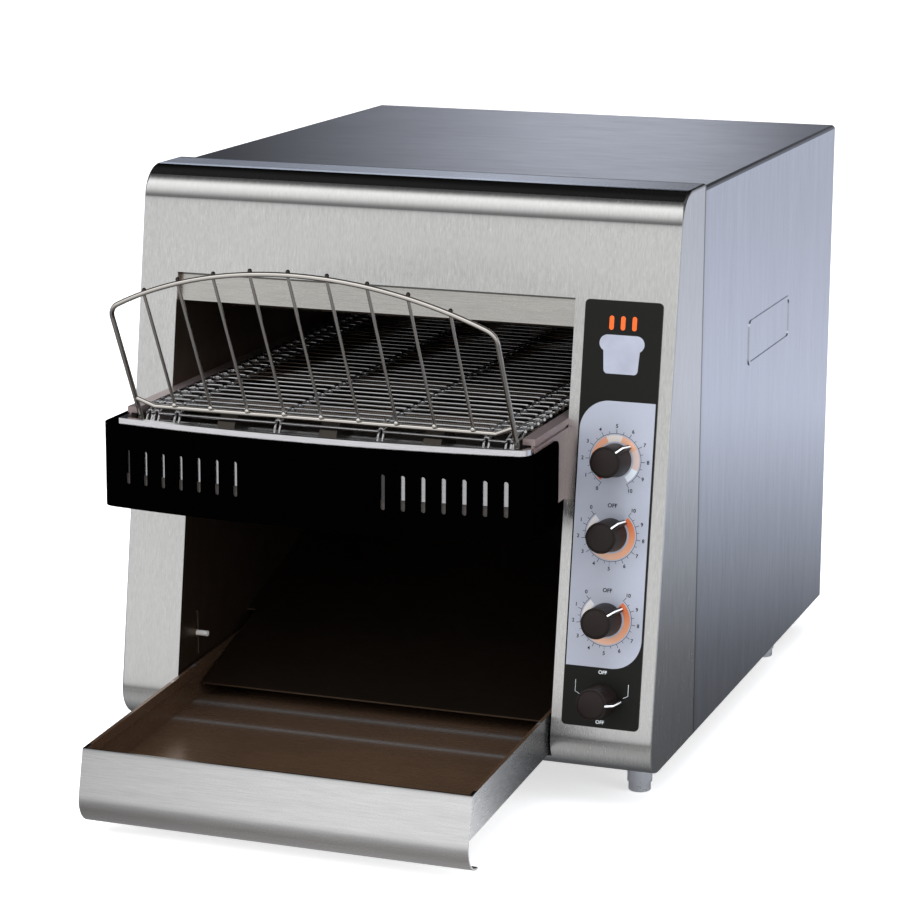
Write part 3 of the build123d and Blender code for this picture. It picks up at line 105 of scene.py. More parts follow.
# ---------------------------------------------------------------- control overlay
film = 0.8 * mm                 # its thickness
ink = 0.05 * mm                 # thickness of a print on it
field_low = 98 * mm             # lavender field
field_high = 266 * mm
field_left_margin = 0.9 * mm
field_right_margin = 1.2 * mm
field_round = 19 * mm           # radius of its two round corners
stroke_width = 0.35 * mm
letter_weight = 0.07 * mm       # how much the letters are fattened
number_size = 3.3 * mm
heat_off_size = 3.6 * mm
power_off_size = 3.2 * mm

# Dial prints are in millimetres from their knob's axis, and in degrees clockwise from the top.
heat_dials = ("top_heat_knob_turn", "bottom_heat_knob_turn")
dial_band = (11.9, 15.9)        # inner and outer radius
dial_ring = (16.8, 17.1)
long_tick = (17, 19.6, 0.34)    # inner and outer radius, and width
short_tick = (17, 18.6, 0.3)
number_radius = 21.6
last_number = 10
speed_first = -150              # place of the 0, and from number to number
speed_step = 30
speed_band_end = 146            # to either side of the top
speed_marks_end = 151
heat_first = -40
heat_step = -28
heat_band_start = 42
heat_marks_start = 39
heat_off_place = 18.6
power_off_places = (17.5, -14.5)
power_mark = ((17.5, 11.5), (17.5, 4.0), (14.5, 2.5))   # line to the right of the knob, mirrored to its left

# The sign's sizes are in millimetres, from the middle of the sign.
sign_place = 68.0               # above the speed knob's axis
slice_foot = (8.6, -11.0)       # middles and radii of the slice's rounds
slice_foot_round = 2.6
slice_crown = (9.4, 5.6)
slice_crown_round = 5.4
bar_places = (-7.5, 0, 7.5)
bar_low = 15.5                  # middles of the bars' rounded ends
bar_high = 21.5
bar_round = 1.5

# ---------------------------------------------------------------- small fittings
rack_rods = 9
rack_rod_pitch = 25.1 * mm
rack_rod = 1.05 * mm            # radius of a rod
hook_radius = rack_rod * 1.3    # hook over the arch, at a rod's highest point
hook_shape = (1.0, 1.2, 1.1)
hook_back = 0.5 * mm
hook_up = 0.2 * mm
weld_radius = rack_rod * 1.5    # weld at a rod's lowest point
weld_shape = (1.0, 1.0, 1.1)
weld_forward = 0.6 * mm
weld_up = 1.6 * mm
skirt_shade_strip = 11 * mm             # height of the dark strip under the rim's skirt, painted shade seen low in the guard's slots
pin_slot_half = 15 * mm         # half the height of the slots round the guide pins
pin_slot_edge = 1.2 * mm        # from the pin's axis to the slot's rear edge
pin_slot_wire = 0.35 * mm       # radius of the turned edge
pin_slot_inset = 0.2 * mm       # from the pins' ends in to the turned edge
pin_slot_turn = 150             # degrees that the edge goes round the slot's upper end


# ================================================================ finishes
class Value:
    """A number, colour or place inside a material, for use in plain expressions."""

    def __init__(self, paint, socket):
        self.paint = paint
        self.socket = socket

    def maths(self, operation, *terms):
        return self.paint.node("ShaderNodeMath", {"operation": operation}, dict(enumerate(terms)))

    def __add__(self, other):
        return self.maths("ADD", self, other)

    def __sub__(self, other):
        return self.maths("SUBTRACT", self, other)

    def __rsub__(self, other):
        return self.maths("SUBTRACT", other, self)

    def __mul__(self, other):
        return self.maths("MULTIPLY", self, other)

    def __truediv__(self, other):
        return self.maths("DIVIDE", self, other)

    def __rtruediv__(self, other):
        return self.maths("DIVIDE", other, self)

    def __gt__(self, other):
        return self.maths("GREATER_THAN", self, other)

    def __lt__(self, other):
        return self.maths("LESS_THAN", self, other)

    def __abs__(self):
        return self.maths("ABSOLUTE", self)

    __radd__ = __add__
    __rmul__ = __mul__


class Paint:
    """A node tree, and one method that adds a node to it."""

    def __init__(self, tree):
        self.tree = tree

    def node(self, kind, settings, values, out=0):
        """Add a node: its type, its settings, then the values or links of its sockets."""
        made = self.tree.nodes.new(kind)
        for setting, choice in settings.items():
            if setting == "stops":
                self.set_stops(made.color_ramp.elements, choice)
            elif setting == "interpolation":
                made.color_ramp.interpolation = choice
            else:
                setattr(made, setting, choice)
        for key, value in values.items():
            if isinstance(value, Value):
                self.tree.links.new(value.socket, made.inputs[key])
            else:
                fill(made.inputs[key], value)
        if out == "all":
            return [Value(self, socket) for socket in made.outputs]
        return Value(self, made.outputs[out])

    def set_stops(self, elements, stops):
        while len(elements) < len(stops):
            elements.new(1.0)
        for element, (place, colour) in zip(elements, stops):
            element.position = place
            element.color = (*colour, 1.0)

    def place(self):
        """The point being shaded, in metres."""
        return self.node("ShaderNodeTexCoord", {}, {}, out="Object")

    def normal(self):
        return self.node("ShaderNodeTexCoord", {}, {}, out="Normal")

    def split(self, vector):
        return self.node("ShaderNodeSeparateXYZ", {}, {0: vector}, out="all")

    def stretch(self, vector, scale):
        return self.node("ShaderNodeVectorMath", {"operation": "MULTIPLY"}, {0: vector, 1: scale})

    def noise(self, vector, scale, detail=2.0, rough=0.5):
        sockets = {"Vector": vector, "Scale": scale, "Detail": detail, "Roughness": rough}
        return self.node("ShaderNodeTexNoise", {}, sockets)

    def shade(self, colour, strength):
        """A colour made lighter or darker."""
        return self.node("ShaderNodeVectorMath", {"operation": "SCALE"}, {0: colour, "Scale": strength})

    def mix(self, mask, first, second):
        return self.node("ShaderNodeMix", {"data_type": "RGBA"}, {0: mask, 6: first, 7: second}, out=2)

    def mix_places(self, mask, first, second):
        return self.node("ShaderNodeMix", {"data_type": "VECTOR"}, {0: mask, 4: first, 5: second}, out=1)

    def ramp(self, value, stops, interpolation="LINEAR"):
        settings = {"stops": stops, "interpolation": interpolation}
        return self.node("ShaderNodeValToRGB", settings, {0: value})

    def bump(self, height, distance, strength):
        sockets = {"Height": height, "Distance": distance, "Strength": strength}
        return self.node("ShaderNodeBump", {}, sockets, out="Normal")


def fill(socket, value):
    """Set a socket's own value; a colour gets its fourth number where the socket has one."""
    if socket.type == "RGBA" and len(value) == 3:
        value = (*value, 1.0)
    socket.default_value = value


def rgb(red, green, blue):
    """Colour given as it shows on a screen, 0 to 255."""
    return tuple(((c / 255 + 0.055) / 1.055) ** 2.4 if c > 10 else c / 3295 for c in (red, green, blue))


def grey(level):
    """Neutral colour of a given light, 0 to 1 and over."""
    return (level, level, level)


def finish(name, **sockets):
    """A principled material, as its paint; sockets are given with _ for each space in their names."""
    material = bpy.data.materials.new(name)
    material.use_nodes = True
    paint = Paint(material.node_tree)
    paint.material = material
    paint.shader = material.node_tree.nodes["Principled BSDF"]
    for key, value in sockets.items():
        set_socket(paint, key.replace("_", " "), value)
    return paint


def set_socket(paint, key, value):
    if isinstance(value, Value):
        paint.tree.links.new(value.socket, paint.shader.inputs[key])
    else:
        fill(paint.shader.inputs[key], value)


def soft_line(value, centre, half_width):
    """1 on a line, falling off softly to both sides."""
    off = (value - centre) / half_width
    return 1.0 / (1.0 + off * off)


def brushed_sheet(name, tone, roughness, streak, side_streak=None, grain=0.32, broad_grain=0.12,
                  fade=None, metal=None, stain_or_painted_tint=None, relief=0.35):
    """Brushed stainless sheet; streak is the grain's density per metre along x, y and z.

    side_streak is the same on faces that look sideways. fade gives the sheet's painted light and shade, and
    metal its metalness, from a place and a normal; stain is such a function with the colour that the
    sheet has where it gives 1: browning with painted shade in the tray, a painted bluish reflection on the
    hood's flat strip.
    """
    paint = finish(name, Metallic=1.0)
    place = paint.place()
    normal = paint.split(paint.normal())
    across = paint.stretch(place, streak)
    if side_streak:
        across = paint.mix_places(abs(normal[0]) > 0.75, across, paint.stretch(place, side_streak))
    fine = paint.noise(across, 1.0, rough=0.65)
    broad = paint.noise(across, 0.12)
    clouds = paint.noise(place, 6.0)
    light = 1.0 + (fine - 0.5) * grain + (broad - 0.5) * broad_grain + (clouds - 0.5) * 0.08
    # painted light and shade, from fade
    if fade:
        light = light * fade(paint.split(place), normal)
    if metal:
        set_socket(paint, "Metallic", metal(paint.split(place), normal))
    colour = paint.shade(tone, light)
    # masked colour: browning with painted shade in the tray, a painted reflection on the hood's strip
    if stain_or_painted_tint:
        where, stain_or_tint_tone = stain_or_painted_tint
        patches = 0.75 + paint.noise(place, 16.0, 4.0, 0.6) * 0.5
        stained_or_tinted = paint.shade(stain_or_tint_tone, light * patches)
        colour = paint.mix(where(paint.split(place), normal), colour, stained_or_tinted)
    set_socket(paint, "Base Color", colour)
    set_socket(paint, "Roughness", roughness + (fine - 0.5) * 0.14 + (clouds - 0.5) * 0.06)
    set_socket(paint, "Normal", paint.bump(fine, 0.06 * mm, relief))
    return paint.material


def front_folds(place, normal):
    """Painted shade: dark roll of the hood, dark lines where the face runs into hood and foot, the strip
    darker to its right, and the seam's shadow.
    """
    facing = abs(normal[0]) < 0.75
    above = place[2] > hood_fold
    hood = soft_line(place[2], hood_fold, above * 2.6 * mm + 1.0 * mm) * facing
    foot = soft_line(place[2], foot_fold, 1.6 * mm) * facing
    on_top = top_strip(place, normal)
    roll = (normal[2] > 0.74) * (1.0 - on_top)
    right = place[0] - strip_shade_start
    strip = on_top * (right > 0) * right * (0.5 / strip_shade_run)
    seam = on_top * (place[1] > seam_edge - 4 * mm)
    cheek_seam = (abs(normal[0]) > 0.9) * (place[1] > seam_edge - 2.6 * mm)
    # painted shade along the folds, over the hood's roll, across the strip and in the seam
    folds = (1.0 - hood * 0.78) * (1.0 - foot * 0.5) * (1.0 - roll * 0.8)
    return folds * (1.0 - strip) * (1.0 - seam * 0.75) * (1.0 - cheek_seam * 0.7)


def top_strip(place, normal):
    """1 on the flat strip behind the rolled hood."""
    return normal[2] > 0.99


def strip_metal(place, normal):
    """The flat strip on top is a duller metal, and dullest at its front edge."""
    flat = top_strip(place, normal)
    edge = (place[1] < hood_edge + 2.4 * mm) * flat
    return 1.0 - flat * 0.27 - edge * 0.25


def cover_edges(place, normal):
    """Shadow in the seam behind the front panel and along the bends of the cover's top."""
    low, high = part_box("rear_cover")
    bend_width = 2.6 * mm
    seam = soft_line(place[1], low.y, (normal[2] > 0.7) * 1.6 * mm + 2.0 * mm)
    bend = (abs(place[0]) > high.x - bend_width) * (place[2] > high.z - bend_width)
    return (1.0 - seam * 0.85) * (1.0 - bend * 0.6)


def baffle_shadow(place, normal):
    """Shadow under the top edge of the feed opening."""
    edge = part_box("control_overlay")[1].z - 2.2 * mm
    return 1.0 - (place[2] > edge) * 0.75


def tray_creases(place, normal):
    """Painted highlights along two creases across the tray's floor, in front of the ramp's lip."""
    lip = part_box("toast_ramp")[0].y
    rear = soft_line(place[1], lip - rear_crease, 1.8 * mm)
    front = soft_line(place[1], lip - front_crease, 1.4 * mm)
    return (rear + front) * (normal[2] > 0.7)


def tray_inside(place, normal):
    """1 on the tray's browned floor and on the inner faces of its sides, which also carry painted shade and
    a painted reflection of the toast.
    """
    facing_in = (place[0] * normal[0] < 0) * (abs(normal[0]) > 0.7)
    behind_hem = place[1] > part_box("toast_tray")[0].y + hem_reach
    # the creases' painted highlights halve the browning there
    return (facing_in + (normal[2] > 0.7)) * behind_hem * (1.0 - tray_creases(place, normal) * 0.5)


def tray_outside(place, normal):
    """1 on the outer faces of the tray's sides."""
    return (place[0] * normal[0] > 0) * (abs(normal[0]) > 0.7)


def tray_tones(place, normal):
    """Painted shade and light: dark hem along the front wall's top, a lighter right half, and sides darker
    towards the body.
    """
    low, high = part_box("toast_tray")
    hem = (normal[2] > 0.7) * (place[1] < low.y + hem_reach)
    edge = soft_line(place[2], tray_brow, 0.7 * mm) * (normal[1] < -0.7)
    across = (place[0] - low.x) / (high.x - low.x)
    wall = (normal[1] < -0.5) * (across * 0.7 - across * across * 0.3 - 0.2)
    back = (place[1] - low.y) / (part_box("front_panel")[0].y - low.y)
    forward = 1.0 - back
    side = tray_outside(place, normal) * (0.92 - forward * forward * 0.92)
    return (1.0 - hem * 0.65) * (1.0 - edge * 0.6) * (1.0 + wall) * (1.0 - side)


def tray_metal(place, normal):
    """The inside is dulled by crumbs and cleaning, and the sides by handling."""
    return 1.0 - tray_inside(place, normal) * 0.4 - tray_outside(place, normal) * 0.45


def rim_skirt(place, normal):
    """The rim's skirt lies in the guard's shadow, darkest behind the first slot of each group."""
    low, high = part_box("feed_guard")
    from_left = abs(place[0] - (low.x + left_slot_inset))
    from_right = abs(place[0] - (high.x - right_slot_inset))
    first = (from_left < slot_reach) + (from_right < slot_reach)
    return 1.0 - (place[2] < high.z - 4 * mm) * (0.35 + first * 0.55)


def stained_sheet(name, tone, stain_or_painted_tint, roughness, streak, metal=1.0):
    """Mill-finish sheet near the heaters, browned in patches."""
    paint = finish(name, Metallic=metal)
    place = paint.place()
    patches = paint.noise(place, 11.0, 4.0, 0.6)
    fine = paint.noise(paint.stretch(place, streak), 1.0)
    colour = paint.mix(patches, tone, stain_or_painted_tint)
    set_socket(paint, "Base Color", paint.shade(colour, 0.85 + fine * 0.3))
    set_socket(paint, "Roughness", roughness + patches * 0.15)
    set_socket(paint, "Normal", paint.bump(fine, 0.05 * mm, 0.3))
    return paint.material


def plated(name, tone, roughness, dirt=0.1, under=0.0, metal=1.0):
    """Bright plated or polished metal with faint handling marks; painted shade darkens it by under where it
    faces down.
    """
    paint = finish(name, Metallic=metal)
    place = paint.place()
    marks = paint.noise(place, 60.0, 4.0, 0.6)
    light = 1.0 - dirt + marks * dirt
    # painted shade on faces that look down
    if under:
        upward = paint.split(paint.normal())[2] + 0.5
        light = light * (1.0 - paint.ramp(upward, [(0.1, grey(under)), (0.5, grey(0))]))
    set_socket(paint, "Base Color", paint.shade(tone, light))
    set_socket(paint, "Roughness", roughness + marks * 0.08)
    set_socket(paint, "Normal", paint.bump(paint.noise(place, 900.0), 0.03 * mm, 0.2))
    return paint.material


def moulded(name, tone, roughness, pits=0.06 * mm, coat=0.0, specular=0.5):
    """Moulded plastic, enamel, ceramic or ink with a fine skin texture."""
    paint = finish(name, Coat_Weight=coat, Coat_Roughness=0.15, Specular_IOR_Level=specular)
    place = paint.place()
    skin = paint.noise(place, 1400.0)
    wear = paint.noise(place, 70.0, 4.0, 0.6)
    set_socket(paint, "Base Color", paint.shade(tone, 0.8 + wear * 0.4))
    set_socket(paint, "Roughness", roughness + (wear - 0.5) * 0.15)
    set_socket(paint, "Normal", paint.bump(skin, pits, 0.5))
    return paint.material


def quartz_tube():
    """Unlit quartz tube with its coil showing through as fine rings."""
    paint = finish("quartz_tube", Specular_IOR_Level=0.3)
    coil_pitch = 3.2 * mm
    along = paint.split(paint.place())[0]
    coil = abs(paint.node("ShaderNodeMath", {"operation": "SINE"}, {0: along * (2 * pi / coil_pitch)}))
    set_socket(paint, "Base Color", paint.mix(coil, rgb(34, 28, 25), rgb(92, 82, 74)))
    set_socket(paint, "Roughness", 0.14 + coil * 0.1)
    return paint.material


# the flat strip on top is tinted bluish as a painted reflection
front_steel = brushed_sheet(
    "front_steel", rgb(226, 226, 225), 0.24, (1300, 200, 200), (50, 420, 50),
    broad_grain=0.06, fade=front_folds, metal=strip_metal, stain_or_painted_tint=(top_strip, rgb(210, 216, 230)))
cover_steel = brushed_sheet(
    "cover_steel", rgb(216, 219, 228), 0.22, (30, 260, 50), (30, 420, 30),
    broad_grain=0.14, fade=cover_edges)
# tray: painted shade and light on its hem, front wall and sides
tray_steel = brushed_sheet(
    "tray_steel", rgb(230, 230, 231), 0.26, (50, 1300, 1300), (1300, 50, 400),
    # inside the tray: browning, darkened by painted shade and a painted reflection of the toast
    grain=0.22, fade=tray_tones, metal=tray_metal, relief=0.12, stain_or_painted_tint=(tray_inside, rgb(104, 80, 62)))
baffle_steel = brushed_sheet("baffle_steel", rgb(205, 203, 198), 0.26, (50, 1300, 1300), fade=baffle_shadow)
rim_steel = brushed_sheet("rim_steel", rgb(232, 232, 236), 0.22, (50, 1300, 1300), fade=rim_skirt)
base_steel = stained_sheet("base_steel", rgb(118, 108, 98), rgb(80, 68, 56), 0.36, (60, 900, 60), 0.8)
pan_steel = stained_sheet("pan_steel", rgb(178, 180, 184), rgb(150, 150, 150), 0.32, (60, 900, 60))
wall_steel = stained_sheet("wall_steel", rgb(150, 136, 122), rgb(96, 72, 54), 0.40, (900, 900, 40))
ramp_steel = stained_sheet("ramp_steel", rgb(120, 108, 96), rgb(78, 60, 46), 0.38, (60, 900, 900))
rail_steel = stained_sheet("rail_steel", rgb(172, 156, 157), rgb(140, 124, 120), 0.30, (900, 60, 900), 0.75)
reflector_steel = stained_sheet("reflector_steel", rgb(110, 104, 98), rgb(70, 60, 50), 0.30, (60, 900, 900))
chrome = plated("chrome", rgb(226, 226, 226), 0.08)
# rack wires: painted shade on their undersides
rack_chrome = plated("rack_chrome", rgb(226, 221, 215), 0.05, under=0.45)
hook_steel = plated("hook_steel", rgb(72, 66, 62), 0.3)
leg_chrome = plated("leg_chrome", rgb(206, 209, 216), 0.24, metal=0.6)
roller_steel = plated("roller_steel", rgb(92, 86, 80), 0.4, 0.3)
wire_steel = plated("wire_steel", rgb(196, 196, 198), 0.16, 0.25)
pin_steel = plated("pin_steel", rgb(236, 234, 230), 0.3, metal=0.1)
slot_edge_steel = plated("slot_edge_steel", rgb(74, 65, 58), 0.4, metal=0.2)
# dark steel for the strip of painted shade under the rim's skirt
skirt_shade_steel = plated("skirt_shade_steel", rgb(72, 67, 64), 0.45, 0.2, metal=0.4)
shaft_steel = plated("shaft_steel", rgb(200, 200, 202), 0.22, 0.2)
zinc = plated("zinc", rgb(196, 198, 196), 0.30, 0.25)
bronze = plated("bronze", rgb(170, 132, 86), 0.35, 0.3)
casting = plated("casting", rgb(158, 160, 163), 0.5, 0.3)
enamel = moulded("enamel", rgb(1, 1, 1), 0.5, 0.02 * mm, specular=0.0)
knob_plastic = moulded("knob_plastic", rgb(28, 22, 20), 0.42, 0.04 * mm, specular=0.2)
knob_white = moulded("knob_white", rgb(238, 240, 242), 0.45)
black_plastic = moulded("black_plastic", rgb(30, 30, 31), 0.45)
ceramic = moulded("ceramic", rgb(222, 216, 204), 0.6)
blanket = moulded("blanket", rgb(224, 218, 202), 0.9, 0.4 * mm)
board_green = moulded("board_green", rgb(26, 84, 54), 0.35, 0.04 * mm, 0.4)
ink_dark = moulded("ink_dark", rgb(12, 12, 14), 0.5, specular=0.1)
ink_white = moulded("ink_white", rgb(200, 204, 208), 0.5, specular=0.2)
ink_lavender = moulded("ink_lavender", rgb(146, 149, 161), 0.5, specular=0.2)
ink_orange = moulded("ink_orange", rgb(214, 92, 38), 0.5, specular=0.2)
quartz = quartz_tube()


# ================================================================ control overlay
def face_frame(joint_name):
    """Frame on the front face at a knob: x right, y up the face, z out of it."""
    joint = joints[joint_name]
    outward = -Vector(joint["axis"])
    right = Vector((1, 0, 0))
    up = outward.cross(right)
    origin = Vector(joint["pos_m"])
    return Matrix((
        (right.x, up.x, outward.x, origin.x),
        (right.y, up.y, outward.y, origin.y),
        (right.z, up.z, outward.z, origin.z),
        (0, 0, 0, 1),
    ))


def dial_places(paint, place, joint_name):
    """Distance in millimetres and clockwise angle in degrees from a knob's axis."""
    spot = face_frame(joint_name)
    x, y, z = paint.split(place)
    right = (x - spot[0][3]) / mm
    up = ((y - spot[1][3]) * spot[1][1] + (z - spot[2][3]) * spot[2][1]) / mm
    radius = paint.node("ShaderNodeMath", {"operation": "SQRT"}, {0: right * right + up * up})
    angle = paint.node("ShaderNodeMath", {"operation": "ARCTAN2"}, {0: right, 1: up}) * (180 / pi)
    return radius, angle


def between(radius, limits):
    """1 where a radius lies between two limits."""
    return (radius > limits[0]) * (radius < limits[1])


def ticks(paint, radius, angle, start, step, tick):
    """Radial strokes every step degrees from start."""
    inner, outer, width = tick
    turns = (angle - start) / step + 100.5
    off = paint.node("ShaderNodeMath", {"operation": "FRACT"}, {0: turns}) - 0.5
    stroke = abs(off) * radius * (step * pi / 180) < width / 2
    return stroke * between(radius, (inner, outer))


def dial_marks(paint, radius, angle, start, step, printed):
    """Ring with a long tick every step degrees and a short one between, where printed is 1."""
    longer = ticks(paint, radius, angle, start, step, long_tick)
    shorter = ticks(paint, radius, angle, start + step / 2, step, short_tick)
    return (longer + shorter + between(radius, dial_ring)) * printed > 0.5


def on_field(place):
    """1 on the lavender field, whose upper left and lower right corners are round."""
    low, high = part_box("control_overlay")
    left = low.x + field_left_margin
    right = high.x - field_right_margin
    x = place[0]
    z = place[2]

    def outside_round(centre_x, centre_z, toward_x, toward_z):
        off_x = (x - centre_x) * toward_x
        off_z = (z - centre_z) * toward_z
        far = (off_x * off_x + off_z * off_z) > field_round * field_round
        return far * (off_x > 0) * (off_z > 0)

    upper_left = outside_round(left + field_round, field_high - field_round, -1, 1)
    lower_right = outside_round(right - field_round, field_low + field_round, 1, -1)
    inside = (x > left) * (x < right) * (z > field_low) * (z < field_high)
    return inside * (1 - upper_left) * (1 - lower_right)


def speed_dial(paint, place, colour, black):
    """Bands in steps of orange and white round the speed knob, with its ticks."""
    radius, angle = dial_places(paint, place, "speed_knob_turn")
    tones = paint.ramp((angle - speed_first) / (last_number * speed_step), [
        (0.0, rgb(176, 74, 40)), (0.10, rgb(188, 104, 70)), (0.25, rgb(196, 140, 112)),
        (0.415, rgb(192, 184, 178)), (0.55, rgb(196, 150, 124)), (0.70, rgb(188, 166, 158)),
        (0.87, rgb(196, 202, 210))], "CONSTANT")
    colour = paint.mix(between(radius, dial_band) * (abs(angle) < speed_band_end), colour, tones)
    marks = dial_marks(paint, radius, angle, 0, speed_step, abs(angle) < speed_marks_end)
    return paint.mix(marks, colour, black)


def heat_dial(paint, place, colour, black, joint_name):
    """Band that runs from white to orange round a heat knob, with its ticks."""
    radius, angle = dial_places(paint, place, joint_name)
    around = paint.node("ShaderNodeMath", {"operation": "FRACT"}, {0: 1 - angle / 360})
    tones = paint.ramp(around, [
        (0.0, rgb(198, 202, 210)), (0.24, rgb(194, 184, 178)), (0.36, rgb(194, 164, 146)),
        (0.55, rgb(196, 150, 124)), (0.72, rgb(194, 128, 92)), (0.84, rgb(184, 98, 60))])
    colour = paint.mix(between(radius, dial_band) * (abs(angle) > heat_band_start), colour, tones)
    marks = dial_marks(paint, radius, angle, -heat_first, -heat_step, abs(angle) > heat_marks_start)
    return paint.mix(marks, colour, black)


def printed_overlay():
    """Polycarbonate overlay: dark ends, lavender field, coloured dial bands and ticks."""
    paint = finish("printed_overlay", Specular_IOR_Level=0.2)
    place = paint.place()
    dark = rgb(17, 17, 15)
    lavender = rgb(150, 153, 164)
    black = rgb(22, 22, 24)
    colour = paint.mix(on_field(paint.split(place)), dark, lavender)
    colour = speed_dial(paint, place, colour, black)
    for joint_name in heat_dials:
        colour = heat_dial(paint, place, colour, black, joint_name)
    speckle = paint.noise(place, 900.0)
    set_socket(paint, "Base Color", paint.shade(colour, 0.97 + speckle * 0.06))
    set_socket(paint, "Roughness", 0.34 + speckle * 0.08)
    set_socket(paint, "Normal", paint.bump(speckle, 0.02 * mm, 0.3))
    return paint.material


overlay_print = printed_overlay()

node_finishes = {
    "front_panel": front_steel,
    "rear_cover": cover_steel,
    "base_pan": base_steel,
    "back_panel": pan_steel,
    "back_screws": zinc,
    "left_inner_wall": wall_steel,
    "right_inner_wall": wall_steel,
    "guide_pins": pin_steel,
    "feed_baffle": baffle_steel,
    "top_reflector": reflector_steel,
    "top_insulation": blanket,
    "bottom_reflector": reflector_steel,
    "top_heaters": quartz,
    "top_heater_holders": ceramic,
    "bottom_heaters": quartz,
    "bottom_heater_holders": ceramic,
    "left_conveyor_rail": rail_steel,
    "right_conveyor_rail": rail_steel,
    "shaft_bushings": bronze,
    "conveyor_belt": wire_steel,
    "drive_shaft": shaft_steel,
    "drive_sprockets": rail_steel,
    "idler_shaft": shaft_steel,
    "idler_rollers": roller_steel,
    "driven_chain_sprocket": zinc,
    "motor_sprocket": zinc,
    "drive_chain": shaft_steel,
    "gear_motor": casting,
    "motor_bracket": zinc,
    "feed_guard": enamel,
    "guard_fasteners": roller_steel,
    "conveyor_front_rim": rim_steel,
    "bread_rack": rack_chrome,
    "toast_tray": tray_steel,
    "tray_runners": rail_steel,
    "toast_ramp": ramp_steel,
    "control_overlay": overlay_print,
    "speed_control": black_plastic,
    "top_heat_switch": black_plastic,
    "bottom_heat_switch": black_plastic,
    "power_switch": black_plastic,
    "speed_knob": knob_plastic,
    "top_heat_knob": knob_plastic,
    "bottom_heat_knob": knob_plastic,
    "power_knob": knob_plastic,
    "fan_housing": black_plastic,
    "fan_rotor": black_plastic,
    "fan_guard": chrome,
    "cord_gland": black_plastic,
    "terminal_block": black_plastic,
    "limit_thermostat": ceramic,
    "control_board": board_green,
    "leg_sleeves": leg_chrome,
    "front_left_foot": leg_chrome,
    "front_right_foot": leg_chrome,
    "rear_left_foot": leg_chrome,
    "rear_right_foot": leg_chrome,
}
for name, material in node_finishes.items():
    slots = nodes[name].data.materials
    slots.clear()
    slots.append(material)


# ================================================================ modelling helpers
def focus(piece):
    """Select one piece alone."""
    bpy.ops.object.select_all(action="DESELECT")
    piece.select_set(True)
    bpy.context.view_layer.objects.active = piece


def place_in_scene(name, data):
    """New object for a mesh, curve, light or camera."""
    made = bpy.data.objects.new(name, data)
    bpy.context.scene.collection.objects.link(made)
    return made


def settle(piece, place=None):
    """Put a piece's place into its mesh, so that its object sits at the origin."""
    if place is not None:
        piece.matrix_world = place @ piece.matrix_world
    focus(piece)
    bpy.ops.object.transform_apply(location=True, rotation=True, scale=True)
    return piece


def join(pieces, name):
    focus(pieces[0])
    for piece in pieces:
        piece.select_set(True)
    if len(pieces) > 1:
        bpy.ops.object.join()
    pieces[0].name = name
    pieces[0].data.name = name
    return pieces[0]


def paint_with(piece, material):
    piece.data.materials.clear()
    piece.data.materials.append(material)
    return piece


def smooth(piece, angle):
    focus(piece)
    bpy.ops.object.shade_smooth_by_angle(angle=radians(angle))


def as_mesh(piece):
    """A text or curve object turned into a mesh object."""
    focus(piece)
    bpy.ops.object.convert(target="MESH")
    return bpy.context.object


def add_runs(curve, points, closed=False):
    """Straight runs through points, on a curve."""
    spline = curve.splines.new("POLY")
    spline.points.add(len(points) - 1)
    for point, place in zip(spline.points, points):
        point.co = (*place, 1.0)
    spline.use_cyclic_u = closed


def wire(points, radius, roundness=2):
    """Round wire through a list of points, as a mesh."""
    curve = bpy.data.curves.new("wire", "CURVE")
    curve.dimensions = "3D"
    curve.bevel_depth = radius
    curve.bevel_resolution = roundness
    curve.use_fill_caps = True
    add_runs(curve, points)
    return as_mesh(place_in_scene("wire", curve))


# ================================================================ wire belt
def belt_strand(left, right):
    """One strand across the belt, hooked under the next one at each bend."""
    middle = (left + right) / 2
    edge = hook_half + belt_wire
    bends = [left + edge, left + edge_bend + edge]
    bends += [middle + (index - (middle_bends - 1) / 2) * bend_spacing for index in range(middle_bends)]
    bends += [right - edge_bend - edge, right - edge]
    half_hook = [
        (hook_half + 0.8 * belt_wire, 0, 0),
        (hook_half, 0.8 * belt_wire, -0.2 * belt_wire),
        (hook_half, belt_pitch - 1.6 * belt_wire, -1.7 * belt_wire),
        (hook_half * 0.9, belt_pitch + 0.8 * belt_wire, -1.9 * belt_wire),
        (hook_half * 0.5, belt_pitch + 2.0 * belt_wire, -0.9 * belt_wire),
    ]
    points = []
    for bend in bends:
        points += [(bend - x, y, z) for x, y, z in half_hook]
        points += [(bend + x, y, z) for x, y, z in reversed(half_hook)]
    return wire(points, belt_wire)


def belt_stations(idler, drive, radius):
    """Place and heading of each strand: back along the top, round, and forward underneath."""
    spans = round((drive.y - idler.y) / belt_pitch)
    stations = []
    for step in range(spans):
        stations.append((idler.y + step * belt_pitch, idler.z + radius))
    for step in range(belt_teeth // 2):
        turn = radians(90 - step * 360 / belt_teeth)
        stations.append((drive.y + radius * cos(turn), drive.z + radius * sin(turn)))
    for step in range(spans):
        stations.append((drive.y - step * belt_pitch, drive.z - radius))
    for step in range(belt_teeth // 2):
        turn = radians(-90 - step * 360 / belt_teeth)
        stations.append((idler.y + radius * cos(turn), idler.z + radius * sin(turn)))
    following = stations[1:] + stations[:1]
    return [(y, z, atan2(z2 - z, y2 - y)) for (y, z), (y2, z2) in zip(stations, following)]


